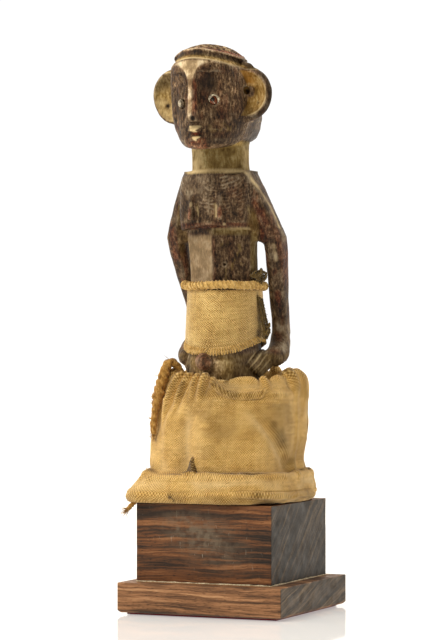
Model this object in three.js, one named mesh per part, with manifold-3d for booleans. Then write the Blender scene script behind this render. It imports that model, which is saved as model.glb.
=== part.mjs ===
// A carved wooden fertility doll, dressed in a waist band and a gathered cloth skirt, on a stepped wooden plinth.
// Millimetres, +Z up. The doll faces -Y. The origin is the centre of the underside of the felt.

import * as THREE from 'three';
import { mergeVertices } from 'three/addons/utils/BufferGeometryUtils.js';
import Module from 'manifold-3d';

const wasm = await Module();
wasm.setup();

// ---------------------------------------------------------------- driving dimensions

const GAP = 0.3; // clearance between pieces that touch

const FELT = { size: 86, thickness: 1 };
const SLAB = { size: 94, height: 16, chamfer: 2 };
const BLOCK = { size: 78, height: 42, x: -1.6, y: 2.5 };
const BLOCK_TOP = FELT.thickness + SLAB.height + BLOCK.height;

const SCREW = { shank: 2, head: 4, headHeight: 2.4, length: 30, spacing: 46 };
const PIN = { radius: 2, inBlock: 22, inLeg: 20 };

// Every height below is measured from the top of the block, where the doll stands.
const LEAN = -0.032; // sideways shift for each millimetre of height: the doll leans to its right
const SOLE = { spread: 10.5 };
const NECK = { radius: 15.4, forward: 3.5, bottom: 172, top: 197 };
const EYE = { spread: 9.8, forward: 32.7, height: 214.2, turn: 30, pit: 2.5, depth: 2.4 };
const EAR = { spread: 19.8, forward: 15, height: 219, turn: 12, radius: 14.5 };
const NAVEL = { forward: 30, height: 74.8, radius: 4.2 };
const BREAST = { spread: 9.2, forward: 20.5, height: 155 };

// Horizontal sections: height, reach forward, place of the widest line, reach backward, half width.
const TORSO = [
  [34, 14, 0, 13, 16],
  [46, 20, 0, 15, 19],
  [56, 24.5, 1, 15.5, 19.4],
  [66, 28, 2, 15, 19],
  [75, 29, 2, 14.5, 18.6],
  [84, 26.5, 2, 13, 18.2],
  [94, 22.5, 2, 12, 18],
  [107, 19.2, 3, 11, 18],
  [120, 17.8, 4, 12, 18.6],
  [133, 17.6, 5, 12, 19],
  [148, 17.8, 5, 12, 19.4],
];
const CHEST = [
  [146.4, 20.6, 6, 12, 20.6],
  [150, 21.8, 6, 13, 21.4],
  [158, 21.8, 5, 14, 21.8],
  [168, 21, 4, 14, 21.6],
  [174, 20.2, 4, 13, 20.6],
  [176.6, 19.4, 4, 12, 19],
];
const LEG = [
  [0, 13, 2, 9, 9],
  [5, 12, 1, 9, 8.6],
  [13, 8, 0, 8, 7.6],
  [28, 9, 0, 9, 8.4],
  [44, 11, 0, 11, 9],
];
const SKULL = [
  [190.4, 31, 6, 18, 12],
  [191.8, 34, 7, 22.5, 16],
  [195, 35.2, 8, 25.5, 18.6],
  [200, 35.8, 9, 27, 20.4],
  [207, 35.8, 10, 27.5, 21.6],
  [214, 35.4, 10, 26, 22],
  [222, 36, 10, 23.5, 22],
  [229, 37.2, 10, 19, 21.4],
  [233.6, 38, 10, 15, 20.6],
  [234.4, 36, 10, 14, 18.8],
  [237.2, 35.6, 11, 11, 18.4],
  [238, 36.6, 12, 11, 19],
  [240.2, 32, 13, 6, 15.4],
  [242.4, 26, 12, 3, 11],
  [244.2, 20, 12, -4, 6.5],
  [245, 15, 12, -9, 2.5],
];
const JAW_SLOPE = 0.15; // the underside of the jaw rises towards the nape
const JAW_TOP = 212;

// One arm: distance to the side, forward, height, turn of its outer face, half thickness, half width.
const ARM = [
  [14, 4, 172, 0, 5.6, 8.6],
  [18, 3.6, 168, 0, 5.6, 8.6],
  [21.4, 2.5, 160, 0, 5.4, 8.2],
  [24.8, 1.2, 152, 0, 5.6, 8],
  [28.2, -1, 142.5, 0, 5.6, 7.4],
  [28.2, -3.6, 134, 0, 5.4, 7],
  [27, -7, 122, 0, 5, 6.4],
  [25, -11.8, 109, 0, 4.5, 6],
  [24.6, -14.6, 99, 0, 4.3, 5.6],
  [24.8, -14.4, 91, 0, 4.2, 5.8],
  [25.2, -11, 83.5, 8, 3.9, 6.4],
  [25.2, -3, 77.8, 22, 3.4, 6.8],
  [23, 5, 75.6, 40, 3, 6.6],
  [20, 10.5, 74.6, 52, 2.6, 6],
  [16.6, 14.8, 74, 60, 2.2, 4.6],
];

const BAND = { thickness: 1.2, top: 113.6, bottom: 79.4, sideRise: 7.4 };
const BAND_OUTSIDE = [
  [BAND.bottom, 29.8, 2, 16.5, 20.2],
  [88, 28, 2, 15.5, 20.2],
  [98, 25.2, 2, 14.8, 20.2],
  [107, 22.6, 2, 14.2, 20.2],
  [BAND.top, 21, 3, 13.8, 20.4],
];
const BAND_CORD = { height: 116.2, radius: 2.2, outset: 0.6 };
const TIE = { side: 22.2, forward: 6, height: 122.4, radius: 3.4 };

const SKIRT = {
  thickness: 1.4,
  rimTilt: 0.05,
  rimDrop: 1.6,
  cornerReach: 10.5,
  cornerTurn: 222.4,
  cornerSpread: 17,
};
// Tables by height: the exponent of the skirt's outline, and the sideways place of its middle.
const SQUARENESS = [[0, 3.2], [16, 3], [40, 2.35], [70, 2.1]];
const MIDDLE = [[8, -1.6], [22, -3.2], [40, -1.2], [64, 1.4]];
// The cloth's own section, from the end of the casing's inner flap to the inside of the rolled hem:
// half width of the outline, height.
const SKIRT_SECTION = [
  [34.6, 54.5],
  [33.2, 58],
  [31.4, 63],
  [31.6, 67],
  [33.6, 68.8],
  [35.8, 66.6],
  [37.6, 61],
  [38.2, 53.6],
  [38.6, 40],
  [37.2, 24],
  [38, 15.6],
  [40.8, 13.6],
  [41.8, 8.4],
  [41.4, 3],
  [38.6, 1.2],
  [35.2, 2.2],
  [34.2, 6],
  [35.4, 9.6],
];
const DRAWSTRING = { half: 34.4, height: 62.4, radius: 1.5 };
const HEM_CORD = { half: 37.8, height: 7, radius: 1.7 };

const TAIL = { radius: 2.1 };
const TAIL_ROUTE = [
  // the free end of the drawstring: up out of the casing, over its rim and down the outside
  [-20.4, -18.1, 61],
  [-21, -18.9, 65.5],
  [-22, -20.2, 69.8],
  [-23.7, -21.6, 73.2],
  [-25.8, -23.4, 74.8],
  [-27.6, -25.1, 73.4],
  [-28.9, -26.3, 69.6],
  [-29.9, -27.4, 64.6],
  [-31.1, -28.6, 58.6],
  [-32.1, -29.4, 52.6],
  [-32.9, -30, 46.6],
  [-33.4, -30.3, 40.8],
  [-33.5, -30.3, 36.4],
];

// ---------------------------------------------------------------- materials

function finish(colour, roughness, metalness = 0) {
  return new THREE.MeshStandardMaterial({ color: colour, roughness, metalness });
}

const FINISH = {
  carvedWood: () => finish(0x3b2a20, 0.45),
  inlay: () => finish(0xcfc3a4, 0.5),
  bandCloth: () => finish(0xb8965a, 0.95),
  skirtCloth: () => finish(0xbf9c60, 0.95),
  cord: () => finish(0xb5853f, 0.95),
  darkYarn: () => finish(0x4d4323, 0.95),
  rosewood: () => finish(0x4a3026, 0.35),
  felt: () => finish(0x6e1a1c, 1),
  steel: () => finish(0x9a9a98, 0.35, 1),
};

// ---------------------------------------------------------------- shape helpers

const group = new THREE.Group();
const onBlock = new THREE.Group();
onBlock.position.z = BLOCK_TOP;
group.add(onBlock);

function addPiece(parent, name, geometry, material) {
  const mesh = new THREE.Mesh(geometry, material);
  mesh.name = name;
  parent.add(mesh);
  return mesh;
}

function volumeOf(points, triangles) {
  let total = 0;
  for (let i = 0; i < triangles.length; i += 3) {
    const [a, b, c] = [points[triangles[i]], points[triangles[i + 1]], points[triangles[i + 2]]];
    total += a.dot(b.clone().cross(c)) / 6;
  }
  return total;
}

// A closed surface from points and triangles, with its faces turned outward.
function closedGeometry(points, triangles) {
  if (volumeOf(points, triangles) < 0) triangles.reverse();
  const geometry = new THREE.BufferGeometry().setFromPoints(points);
  geometry.setIndex(triangles);
  return geometry;
}

// Joins rings of equally many points. An open loft is capped at both ends; a closed one returns to its first ring.
function loft(rings, closed = false) {
  const count = rings[0].length;
  const points = rings.flat();
  const triangles = [];
  const spans = closed ? rings.length : rings.length - 1;
  for (let i = 0; i < spans; i++) {
    for (let j = 0; j < count; j++) {
      const a = i * count + j;
      const b = i * count + ((j + 1) % count);
      const c = ((i + 1) % rings.length) * count + ((j + 1) % count);
      const d = ((i + 1) % rings.length) * count + j;
      triangles.push(a, b, c, a, c, d);
    }
  }
  if (!closed) {
    const last = (rings.length - 1) * count;
    const centre = (ring) => ring.reduce((sum, p) => sum.add(p), new THREE.Vector3()).divideScalar(count);
    points.push(centre(rings[0]), centre(rings.at(-1)));
    for (let j = 0; j < count; j++) {
      const next = (j + 1) % count;
      triangles.push(points.length - 2, next, j);
      triangles.push(points.length - 1, last + j, last + next);
    }
  }
  return closedGeometry(points, triangles);
}

// A point's share of the two half axes of a superellipse.
function squircle(angle, exponent) {
  const share = (v) => Math.sign(v) * Math.abs(v) ** (2 / exponent);
  return [share(Math.cos(angle)), share(Math.sin(angle))];
}

// A horizontal ring from one row of a section table.
function sectionRing([height, forward, widest, backward, half], exponent, count, side = 0) {
  const ring = [];
  for (let j = 0; j < count; j++) {
    const [across, along] = squircle((j / count) * 2 * Math.PI, exponent);
    const reach = along < 0 ? forward - widest : backward + widest;
    ring.push(new THREE.Vector3(side + half * across, -widest + reach * along, height));
  }
  return ring;
}

function column(rows, exponent, count, side = 0) {
  return loft(rows.map((row) => sectionRing(row, exponent, count, side)));
}

// Moves every vertex of a geometry by a function.
function moveVertices(geometry, move) {
  const position = geometry.getAttribute('position');
  const point = new THREE.Vector3();
  for (let i = 0; i < position.count; i++) {
    point.fromBufferAttribute(position, i);
    move(point);
    position.setXYZ(i, point.x, point.y, point.z);
  }
  return geometry;
}

function toSolid(geometry) {
  const bare = geometry.clone();
  bare.deleteAttribute('normal');
  bare.deleteAttribute('uv');
  const merged = mergeVertices(bare, 1e-4);
  return new wasm.Manifold(new wasm.Mesh({
    numProp: 3,
    vertProperties: new Float32Array(merged.getAttribute('position').array),
    triVerts: new Uint32Array(merged.getIndex().array),
  }));
}

function toGeometry(solid) {
  const mesh = solid.getMesh();
  const geometry = new THREE.BufferGeometry();
  geometry.setAttribute('position', new THREE.BufferAttribute(new Float32Array(mesh.vertProperties), 3));
  geometry.setIndex(new THREE.BufferAttribute(new Uint32Array(mesh.triVerts), 1));
  return geometry;
}

const union = (geometries) => geometries.map(toSolid).reduce((all, one) => all.add(one));

// Turns a geometry made along +Y so that it points along a direction, then puts it in place.
function aim(geometry, direction, place) {
  const turn = new THREE.Quaternion().setFromUnitVectors(new THREE.Vector3(0, 1, 0), direction);
  return geometry.applyQuaternion(turn).translate(place.x, place.y, place.z);
}

function upright(geometry, x, y, z) {
  return aim(geometry, new THREE.Vector3(0, 0, 1), new THREE.Vector3(x, y, z));
}

function ellipsoid(sides, rings, halfX, halfY, halfZ, x, y, z) {
  return new THREE.SphereGeometry(1, sides, rings).scale(halfX, halfY, halfZ).translate(x, y, z);
}

// A round-sectioned ring that follows a closed outline.
function cordRing(outline, radius, steps, sides) {
  const rings = [];
  for (let i = 0; i < steps; i++) {
    const here = outline(i / steps);
    const ahead = outline((i + 0.01) / steps).sub(here).normalize();
    const outward = new THREE.Vector3(ahead.y, -ahead.x, 0);
    const ring = [];
    for (let j = 0; j < sides; j++) {
      const angle = (j / sides) * 2 * Math.PI;
      const point = here.clone().addScaledVector(outward, radius * Math.cos(angle));
      point.z += radius * Math.sin(angle);
      ring.push(point);
    }
    rings.push(ring);
  }
  return loft(rings, true);
}

// ---------------------------------------------------------------- plinth

function feltPad() {
  const { size, thickness } = FELT;
  return new THREE.BoxGeometry(size, size, thickness).translate(0, 0, thickness / 2);
}

const screwPlaces = [[-1, -1], [1, -1], [1, 1], [-1, 1]].map(([x, y]) => new THREE.Vector2(
  BLOCK.x + (x * SCREW.spacing) / 2,
  BLOCK.y + (y * SCREW.spacing) / 2,
));
const SCREW_BASE = FELT.thickness + 0.6; // the heads are sunk below the slab's underside
const pinPlaces = [-SOLE.spread, SOLE.spread].map((x) => new THREE.Vector2(x, 0));

// A countersunk wood screw along +Y from its head, or the hole for it.
function screwShape(clearance) {
  const { shank, head, headHeight, length } = SCREW;
  const start = clearance > 0 ? -1 : 0;
  const outline = [
    [0, start],
    [head + clearance, start],
    [head + clearance, 0.6],
    [shank + clearance, headHeight],
    [shank + clearance, length - 4],
    [0.4 + clearance, length + clearance],
    [0, length + clearance],
  ];
  return new THREE.LatheGeometry(outline.map(([r, y]) => new THREE.Vector2(r, y)), 12);
}

function baseSlab() {
  const { size, height, chamfer } = SLAB;
  const square = (half, z) => [[-1, -1], [1, -1], [1, 1], [-1, 1]].map(
    ([x, y]) => new THREE.Vector3(x * half, y * half, z),
  );
  const bottom = FELT.thickness;
  let solid = toSolid(loft([
    square(size / 2 - chamfer, bottom),
    square(size / 2, bottom + chamfer),
    square(size / 2, bottom + height),
  ]));
  for (const place of screwPlaces) {
    solid = solid.subtract(toSolid(upright(screwShape(GAP), place.x, place.y, SCREW_BASE)));
  }
  return toGeometry(solid);
}

function plinthBlock() {
  const { size, height, x, y } = BLOCK;
  const box = new THREE.BoxGeometry(size, size, height).translate(x, y, BLOCK_TOP - height / 2);
  let solid = toSolid(box);
  for (const place of screwPlaces) {
    solid = solid.subtract(toSolid(upright(screwShape(GAP), place.x, place.y, SCREW_BASE)));
  }
  for (const place of pinPlaces) {
    const depth = PIN.inBlock + GAP;
    const hole = new THREE.CylinderGeometry(PIN.radius + GAP, PIN.radius + GAP, depth + 1, 12);
    solid = solid.subtract(toSolid(upright(hole, place.x, place.y, BLOCK_TOP - (depth - 1) / 2)));
  }
  return toGeometry(solid);
}

function mountingPin(place) {
  const length = PIN.inBlock + PIN.inLeg;
  const pin = new THREE.CylinderGeometry(PIN.radius, PIN.radius, length, 12);
  return upright(pin, place.x, place.y, length / 2 - PIN.inBlock);
}

// ---------------------------------------------------------------- carved figure

const lean = (point) => { point.x += LEAN * point.z; };

function skull() {
  const head = column(SKULL, 2.15, 24);
  const foot = SKULL[0][0];
  return moveVertices(head, (p) => {
    const share = THREE.MathUtils.clamp((JAW_TOP - p.z) / (JAW_TOP - foot), 0, 1);
    p.z += JAW_SLOPE * (p.y + 14) * share ** 2;
  });
}

function ear(side) {
  const r = EAR.radius;
  const outline = [
    [0, -4.4],
    [0.62 * r, -3.4],
    [0.92 * r, -1],
    [r, 2],
    [0.95 * r, 2.8],
    [0.8 * r, 1.2],
    [0.42 * r, -1.2],
    [0, -1.6],
  ];
  const cup = new THREE.LatheGeometry(outline.map(([x, y]) => new THREE.Vector2(x, y)), 20);
  const turn = THREE.MathUtils.degToRad(EAR.turn);
  const facing = new THREE.Vector3(side * Math.sin(turn), -Math.cos(turn), 0);
  return aim(cup, facing, new THREE.Vector3(side * EAR.spread, -EAR.forward, EAR.height));
}

function nose() {
  const slice = (height, base, ridge, forward) => [
    new THREE.Vector3(-ridge, -forward, height),
    new THREE.Vector3(ridge, -forward, height),
    new THREE.Vector3(base, -31, height),
    new THREE.Vector3(-base, -31, height),
  ];
  return loft([slice(202.4, 3.4, 2.4, 40.6), slice(204.6, 3.6, 2.2, 41.4), slice(232.8, 5, 3.4, 39)]);
}

function lips() {
  return [
    ellipsoid(10, 6, 3.7, 2.6, 1.5, 0, -35.8, 199),
    ellipsoid(10, 6, 3.5, 2.6, 1.3, 0, -35.4, 193.8),
  ];
}

// The arm is swept along its joints; each ring is square to the arm and turned to its outer face.
function arm(side) {
  const at = ([a, b, z]) => new THREE.Vector3(side * a, -b, z);
  const rings = ARM.map((row, i) => {
    const along = at(ARM[Math.min(i + 1, ARM.length - 1)]).sub(at(ARM[Math.max(i - 1, 0)])).normalize();
    const turn = THREE.MathUtils.degToRad(row[3]);
    const outer = new THREE.Vector3(side * Math.cos(turn), -Math.sin(turn), 0);
    outer.addScaledVector(along, -outer.dot(along)).normalize();
    const broad = along.clone().cross(outer);
    const ring = [];
    for (let j = 0; j < 12; j++) {
      const [thick, wide] = squircle((j / 12) * 2 * Math.PI, 2.4);
      ring.push(at(row).addScaledVector(outer, row[4] * thick).addScaledVector(broad, row[5] * wide));
    }
    return ring;
  });
  return loft(rings);
}

function breast(side) {
  const { spread, forward, height } = BREAST;
  return ellipsoid(10, 8, 2.8, 6, 6.4, side * spread, -forward, height);
}

const eyeFacing = (side) => {
  const turn = THREE.MathUtils.degToRad(EYE.turn);
  return new THREE.Vector3(side * Math.sin(turn), -Math.cos(turn), 0);
};
const eyePlace = (side) => {
  const place = new THREE.Vector3(side * EYE.spread, -EYE.forward, EYE.height);
  lean(place);
  return place;
};

function carvedFigure() {
  const parts = [
    column(TORSO, 2.3, 24),
    column(CHEST, 3.2, 24),
    column([NECK.bottom, NECK.top].map((z) => {
      const { radius, forward } = NECK;
      return [z, forward + radius, forward, radius - forward, radius];
    }), 2, 20),
    skull(),
    nose(),
    ...lips(),
    ellipsoid(12, 8, NAVEL.radius, NAVEL.radius + 0.5, NAVEL.radius, 0, -NAVEL.forward, NAVEL.height),
  ];
  for (const side of [-1, 1]) {
    parts.push(column(LEG, 2.2, 12, side * SOLE.spread), arm(side), ear(side), breast(side));
  }
  let solid = toSolid(moveVertices(toGeometry(union(parts)), lean));
  for (const place of pinPlaces) {
    const depth = PIN.inLeg + GAP;
    const hole = new THREE.CylinderGeometry(PIN.radius + GAP, PIN.radius + GAP, depth + 2, 12);
    solid = solid.subtract(toSolid(upright(hole, place.x, place.y, (depth - 2) / 2)));
  }
  for (const side of [-1, 1]) {
    const pit = new THREE.CylinderGeometry(EYE.pit, EYE.pit, EYE.depth * 2, 12);
    solid = solid.subtract(toSolid(aim(pit, eyeFacing(side), eyePlace(side))));
  }
  return toGeometry(solid);
}

// A ring bead pressed into the eye's pit.
function eyeInlay(side) {
  const outer = EYE.pit - GAP;
  const hole = 1;
  const bottom = GAP - EYE.depth;
  const top = 0.5;
  const outline = [
    [hole, bottom],
    [outer, bottom],
    [outer, top - 0.5],
    [outer - 0.5, top],
    [hole + 0.3, top],
    [hole, top - 0.3],
    [hole, bottom],
  ];
  const bead = new THREE.LatheGeometry(outline.map(([r, y]) => new THREE.Vector2(r, y)), 12);
  return aim(bead, eyeFacing(side), eyePlace(side));
}

// ---------------------------------------------------------------- waist band

function waistBand() {
  const inset = (row) => row.map((v, i) => (i === 0 || i === 2 ? v : v - BAND.thickness));
  const outer = BAND_OUTSIDE.map((row) => sectionRing(row, 2.3, 32));
  const inner = BAND_OUTSIDE.map((row) => sectionRing(inset(row), 2.3, 32)).reverse();
  const band = moveVertices(loft([...outer, ...inner], true), (p) => {
    // the lower edge rises at both sides, over the hands
    const rise = BAND.sideRise * (p.x / Math.hypot(p.x, p.y)) ** 2;
    p.z += (rise * (BAND.top - p.z)) / (BAND.top - BAND.bottom);
  });
  return moveVertices(band, lean);
}

function bandCord() {
  const [, forward, widest, backward, half] = BAND_OUTSIDE.at(-1);
  const { outset, height, radius } = BAND_CORD;
  const row = [height, forward + outset, widest, backward + outset, half + outset];
  const steps = 36;
  const ring = sectionRing(row, 2.3, steps * 100);
  const outline = (share) => ring[Math.round(share * ring.length) % ring.length].clone();
  return moveVertices(cordRing(outline, radius, steps, 8), lean);
}

// The knotted yarn that ties the band's cord, at the doll's left side: crossed loops pulled into one lump.
function bandTie() {
  const { side, forward, height, radius } = TIE;
  const loops = [[0, 0, 0], [Math.PI / 3, 0.5, 0], [-Math.PI / 3, 0.2, 0.7]].map(([x, y, z]) => {
    const loop = new THREE.TorusGeometry(radius * 0.6, radius * 0.4, 6, 12);
    return loop.rotateX(x).rotateY(y).rotateZ(z);
  });
  const heart = new THREE.SphereGeometry(radius * 0.75, 10, 6);
  const knot = toGeometry(union([heart, ...loops])).translate(side, -forward, height);
  return moveVertices(knot, lean);
}

// ---------------------------------------------------------------- skirt

function interpolate(table, height) {
  const next = table.findIndex(([h]) => h >= height);
  if (next <= 0) return next < 0 ? table.at(-1)[1] : table[0][1];
  const [[h0, v0], [h1, v1]] = [table[next - 1], table[next]];
  return v0 + ((v1 - v0) * (height - h0)) / (h1 - h0);
}

// The skirt's outline at a height, with the corner of the hem that reaches past the block's front left corner.
function skirtPoint(turn, half, height) {
  const exponent = interpolate(SQUARENESS, height);
  const [c, s] = [Math.cos(turn), Math.sin(turn)];
  let reach = half / (Math.abs(c) ** exponent + Math.abs(s) ** exponent) ** (1 / exponent);
  const off = (THREE.MathUtils.radToDeg(turn) - SKIRT.cornerTurn) / SKIRT.cornerSpread;
  const low = THREE.MathUtils.clamp((16 - height) / 12, 0, 1);
  reach += SKIRT.cornerReach * Math.exp(-off * off) * low;
  // the rim dips towards the front
  const high = THREE.MathUtils.clamp((height - 46) / 20, 0, 1);
  const rise = high * (SKIRT.rimTilt * reach * s - SKIRT.rimDrop);
  return new THREE.Vector3(interpolate(MIDDLE, height) + reach * c, reach * s, height + rise);
}

// Offsets a section line to both sides, which makes the closed section of a cloth.
function clothSection(line, thickness) {
  const offset = (side) => line.map(([x, y], i) => {
    const [x0, y0] = line[Math.max(i - 1, 0)];
    const [x1, y1] = line[Math.min(i + 1, line.length - 1)];
    const length = Math.hypot(x1 - x0, y1 - y0);
    const shift = (side * thickness) / 2 / length;
    return [x - (y1 - y0) * shift, y + (x1 - x0) * shift];
  });
  return [...offset(1), ...offset(-1).reverse()];
}

function skirtCloth() {
  const section = clothSection(SKIRT_SECTION, SKIRT.thickness);
  const steps = 36;
  const rings = [];
  for (let i = 0; i < steps; i++) {
    const turn = (i / steps) * 2 * Math.PI;
    rings.push(section.map(([half, height]) => skirtPoint(turn, half, height)));
  }
  return loft(rings, true);
}

function skirtRing({ half, height, radius }) {
  const outline = (share) => skirtPoint(share * 2 * Math.PI, half, height);
  return cordRing(outline, radius, 44, 8);
}

function drawstringTail() {
  const path = new THREE.CatmullRomCurve3(TAIL_ROUTE.map((p) => new THREE.Vector3(...p)));
  const section = new THREE.Shape().absarc(0, 0, TAIL.radius, 0, 2 * Math.PI);
  return new THREE.ExtrudeGeometry(section, { steps: 18, extrudePath: path, curveSegments: 4 });
}

// ---------------------------------------------------------------- assembly

addPiece(group, 'felt_pad', feltPad(), FINISH.felt());
addPiece(group, 'base_slab', baseSlab(), FINISH.rosewood());
addPiece(group, 'plinth_block', plinthBlock(), FINISH.rosewood());
screwPlaces.forEach((place, i) => {
  const screw = upright(screwShape(0), place.x, place.y, SCREW_BASE);
  addPiece(group, `slab_screw_${i + 1}`, screw, FINISH.steel());
});

addPiece(onBlock, 'mounting_pin_right', mountingPin(pinPlaces[0]), FINISH.steel());
addPiece(onBlock, 'mounting_pin_left', mountingPin(pinPlaces[1]), FINISH.steel());
addPiece(onBlock, 'carved_figure', carvedFigure(), FINISH.carvedWood());
addPiece(onBlock, 'eye_inlay_right', eyeInlay(-1), FINISH.inlay());
addPiece(onBlock, 'eye_inlay_left', eyeInlay(1), FINISH.inlay());
addPiece(onBlock, 'waist_band', waistBand(), FINISH.bandCloth());
addPiece(onBlock, 'waist_band_cord', bandCord(), FINISH.cord());
addPiece(onBlock, 'waist_band_tie', bandTie(), FINISH.darkYarn());
addPiece(onBlock, 'skirt', skirtCloth(), FINISH.skirtCloth());
addPiece(onBlock, 'skirt_drawstring', skirtRing(DRAWSTRING), FINISH.cord());
addPiece(onBlock, 'drawstring_tail', drawstringTail(), FINISH.cord());
addPiece(onBlock, 'hem_cord', skirtRing(HEM_CORD), FINISH.cord());

export default group;
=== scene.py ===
import math
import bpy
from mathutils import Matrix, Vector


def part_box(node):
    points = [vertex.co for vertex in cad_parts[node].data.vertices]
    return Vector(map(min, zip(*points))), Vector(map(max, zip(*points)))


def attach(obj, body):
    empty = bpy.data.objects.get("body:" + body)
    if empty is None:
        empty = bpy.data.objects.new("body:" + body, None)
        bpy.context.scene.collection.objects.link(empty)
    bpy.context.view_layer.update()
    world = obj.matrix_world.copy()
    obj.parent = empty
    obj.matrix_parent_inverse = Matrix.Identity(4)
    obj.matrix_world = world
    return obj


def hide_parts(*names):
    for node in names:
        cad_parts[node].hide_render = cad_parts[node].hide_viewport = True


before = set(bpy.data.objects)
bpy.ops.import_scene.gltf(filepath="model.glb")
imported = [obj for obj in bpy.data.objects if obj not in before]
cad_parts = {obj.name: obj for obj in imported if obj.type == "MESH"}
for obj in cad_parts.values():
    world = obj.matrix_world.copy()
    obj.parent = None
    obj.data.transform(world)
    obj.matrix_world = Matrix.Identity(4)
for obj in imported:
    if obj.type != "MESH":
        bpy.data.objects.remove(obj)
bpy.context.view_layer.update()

from types import SimpleNamespace

import bpy
import numpy as np
from mathutils import Vector

MM = 0.001
BLOCK_TOP = 59.0  # mm: the figure and the cloth are described from the block's top
LEAN = -0.032  # mm to the side for each mm of height

# ---------------------------------------------------------------- camera

scene = bpy.context.scene
AZIMUTH = math.radians(23.75)
CAMERA_DISTANCE, CAMERA_HEIGHT, CAMERA_SIDE = 1.527, 0.1566, -0.0107
camera = bpy.data.objects.new("camera", bpy.data.cameras.new("camera"))
scene.collection.objects.link(camera)
camera.data.lens = 158.9
camera.data.sensor_width = 36
camera.data.clip_start, camera.data.clip_end = 0.05, 50
camera.location = (
    math.sin(AZIMUTH) * CAMERA_DISTANCE + math.cos(AZIMUTH) * CAMERA_SIDE,
    -math.cos(AZIMUTH) * CAMERA_DISTANCE + math.sin(AZIMUTH) * CAMERA_SIDE,
    CAMERA_HEIGHT,
)
camera.rotation_euler = (math.radians(90), 0, AZIMUTH)
scene.camera = camera


# ---------------------------------------------------------------- meshes


def make_piece(
    name, points, faces, replaced=(), materials=(), smooth=True, uv=None, attributes=None
):
    """A piece from points in mm (row frame) and arrays of faces. uv is one pair of mm per point."""
    points = np.asarray(points, np.float32) * MM
    groups = [np.asarray(group, np.int32) for group in (faces if isinstance(faces, list) else [faces])]
    corners = np.concatenate([group.ravel() for group in groups])
    sizes = np.concatenate([np.full(len(group), group.shape[1]) for group in groups])
    mesh = bpy.data.meshes.new(name)
    mesh.vertices.add(len(points))
    mesh.vertices.foreach_set("co", points.ravel())
    mesh.loops.add(len(corners))
    mesh.loops.foreach_set("vertex_index", corners)
    mesh.polygons.add(len(sizes))
    mesh.polygons.foreach_set("loop_start", (np.cumsum(sizes) - sizes).astype(np.int32))
    mesh.update(calc_edges=True)
    mesh.validate()
    if uv is not None:
        layer = mesh.uv_layers.new(name="cloth")
        layer.data.foreach_set("uv", np.asarray(uv, np.float32)[corners].ravel())
    for key, values in (attributes or {}).items():
        layer = mesh.attributes.new(key, "FLOAT", "POINT")
        layer.data.foreach_set("value", np.asarray(values, np.float32))
    mesh.polygons.foreach_set("use_smooth", np.full(len(mesh.polygons), smooth))
    obj = bpy.data.objects.new(name, mesh)
    scene.collection.objects.link(obj)
    for material in materials:
        mesh.materials.append(material)
    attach(obj, "root")
    if replaced:
        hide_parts(*replaced)
    return obj


def lattice_value(i, j, k, seed):
    """A repeatable random number from 0 to 1 for each lattice point."""
    h = (i * 374761393 + j * 668265263 + k * 2147483647 + seed * 974634777) & 0xFFFFFFFF
    h = ((h ^ (h >> 13)) * 1274126177) & 0xFFFFFFFF
    return ((h ^ (h >> 16)) & 0xFFFF) / 65535.0


def noise(p, size, seed=0):
    """Smooth noise from -1 to 1 at points p. size is that of its cells: one number, or one for each axis."""
    q = np.asarray(p, float) / size
    base = np.floor(q).astype(np.int64)
    f = q - base
    f = f * f * (3 - 2 * f)
    total = 0.0
    for di in (0, 1):
        for dj in (0, 1):
            for dk in (0, 1):
                weight = (
                    (f[..., 0] if di else 1 - f[..., 0])
                    * (f[..., 1] if dj else 1 - f[..., 1])
                    * (f[..., 2] if dk else 1 - f[..., 2])
                )
                total = (
                    total
                    + weight
                    * lattice_value(base[..., 0] + di, base[..., 1] + dj, base[..., 2] + dk, seed)
                )
    return total * 2 - 1


def step(low, high, x):
    t = np.clip((x - low) / (high - low), 0, 1)
    return t * t * (3 - 2 * t)


def bump(x, centre, width):
    """1 at the centre, falling smoothly to 0 at a few widths from it."""
    return np.exp(-(((x - centre) / width) ** 2))


# ---------------------------------------------------------------- materials


def rgb(*values):
    """A linear colour from sRGB values of 0 to 255."""
    return (*[(v / 255 / 12.92) if v < 10 else ((v / 255 + 0.055) / 1.055) ** 2.4 for v in values], 1.0)


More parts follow.
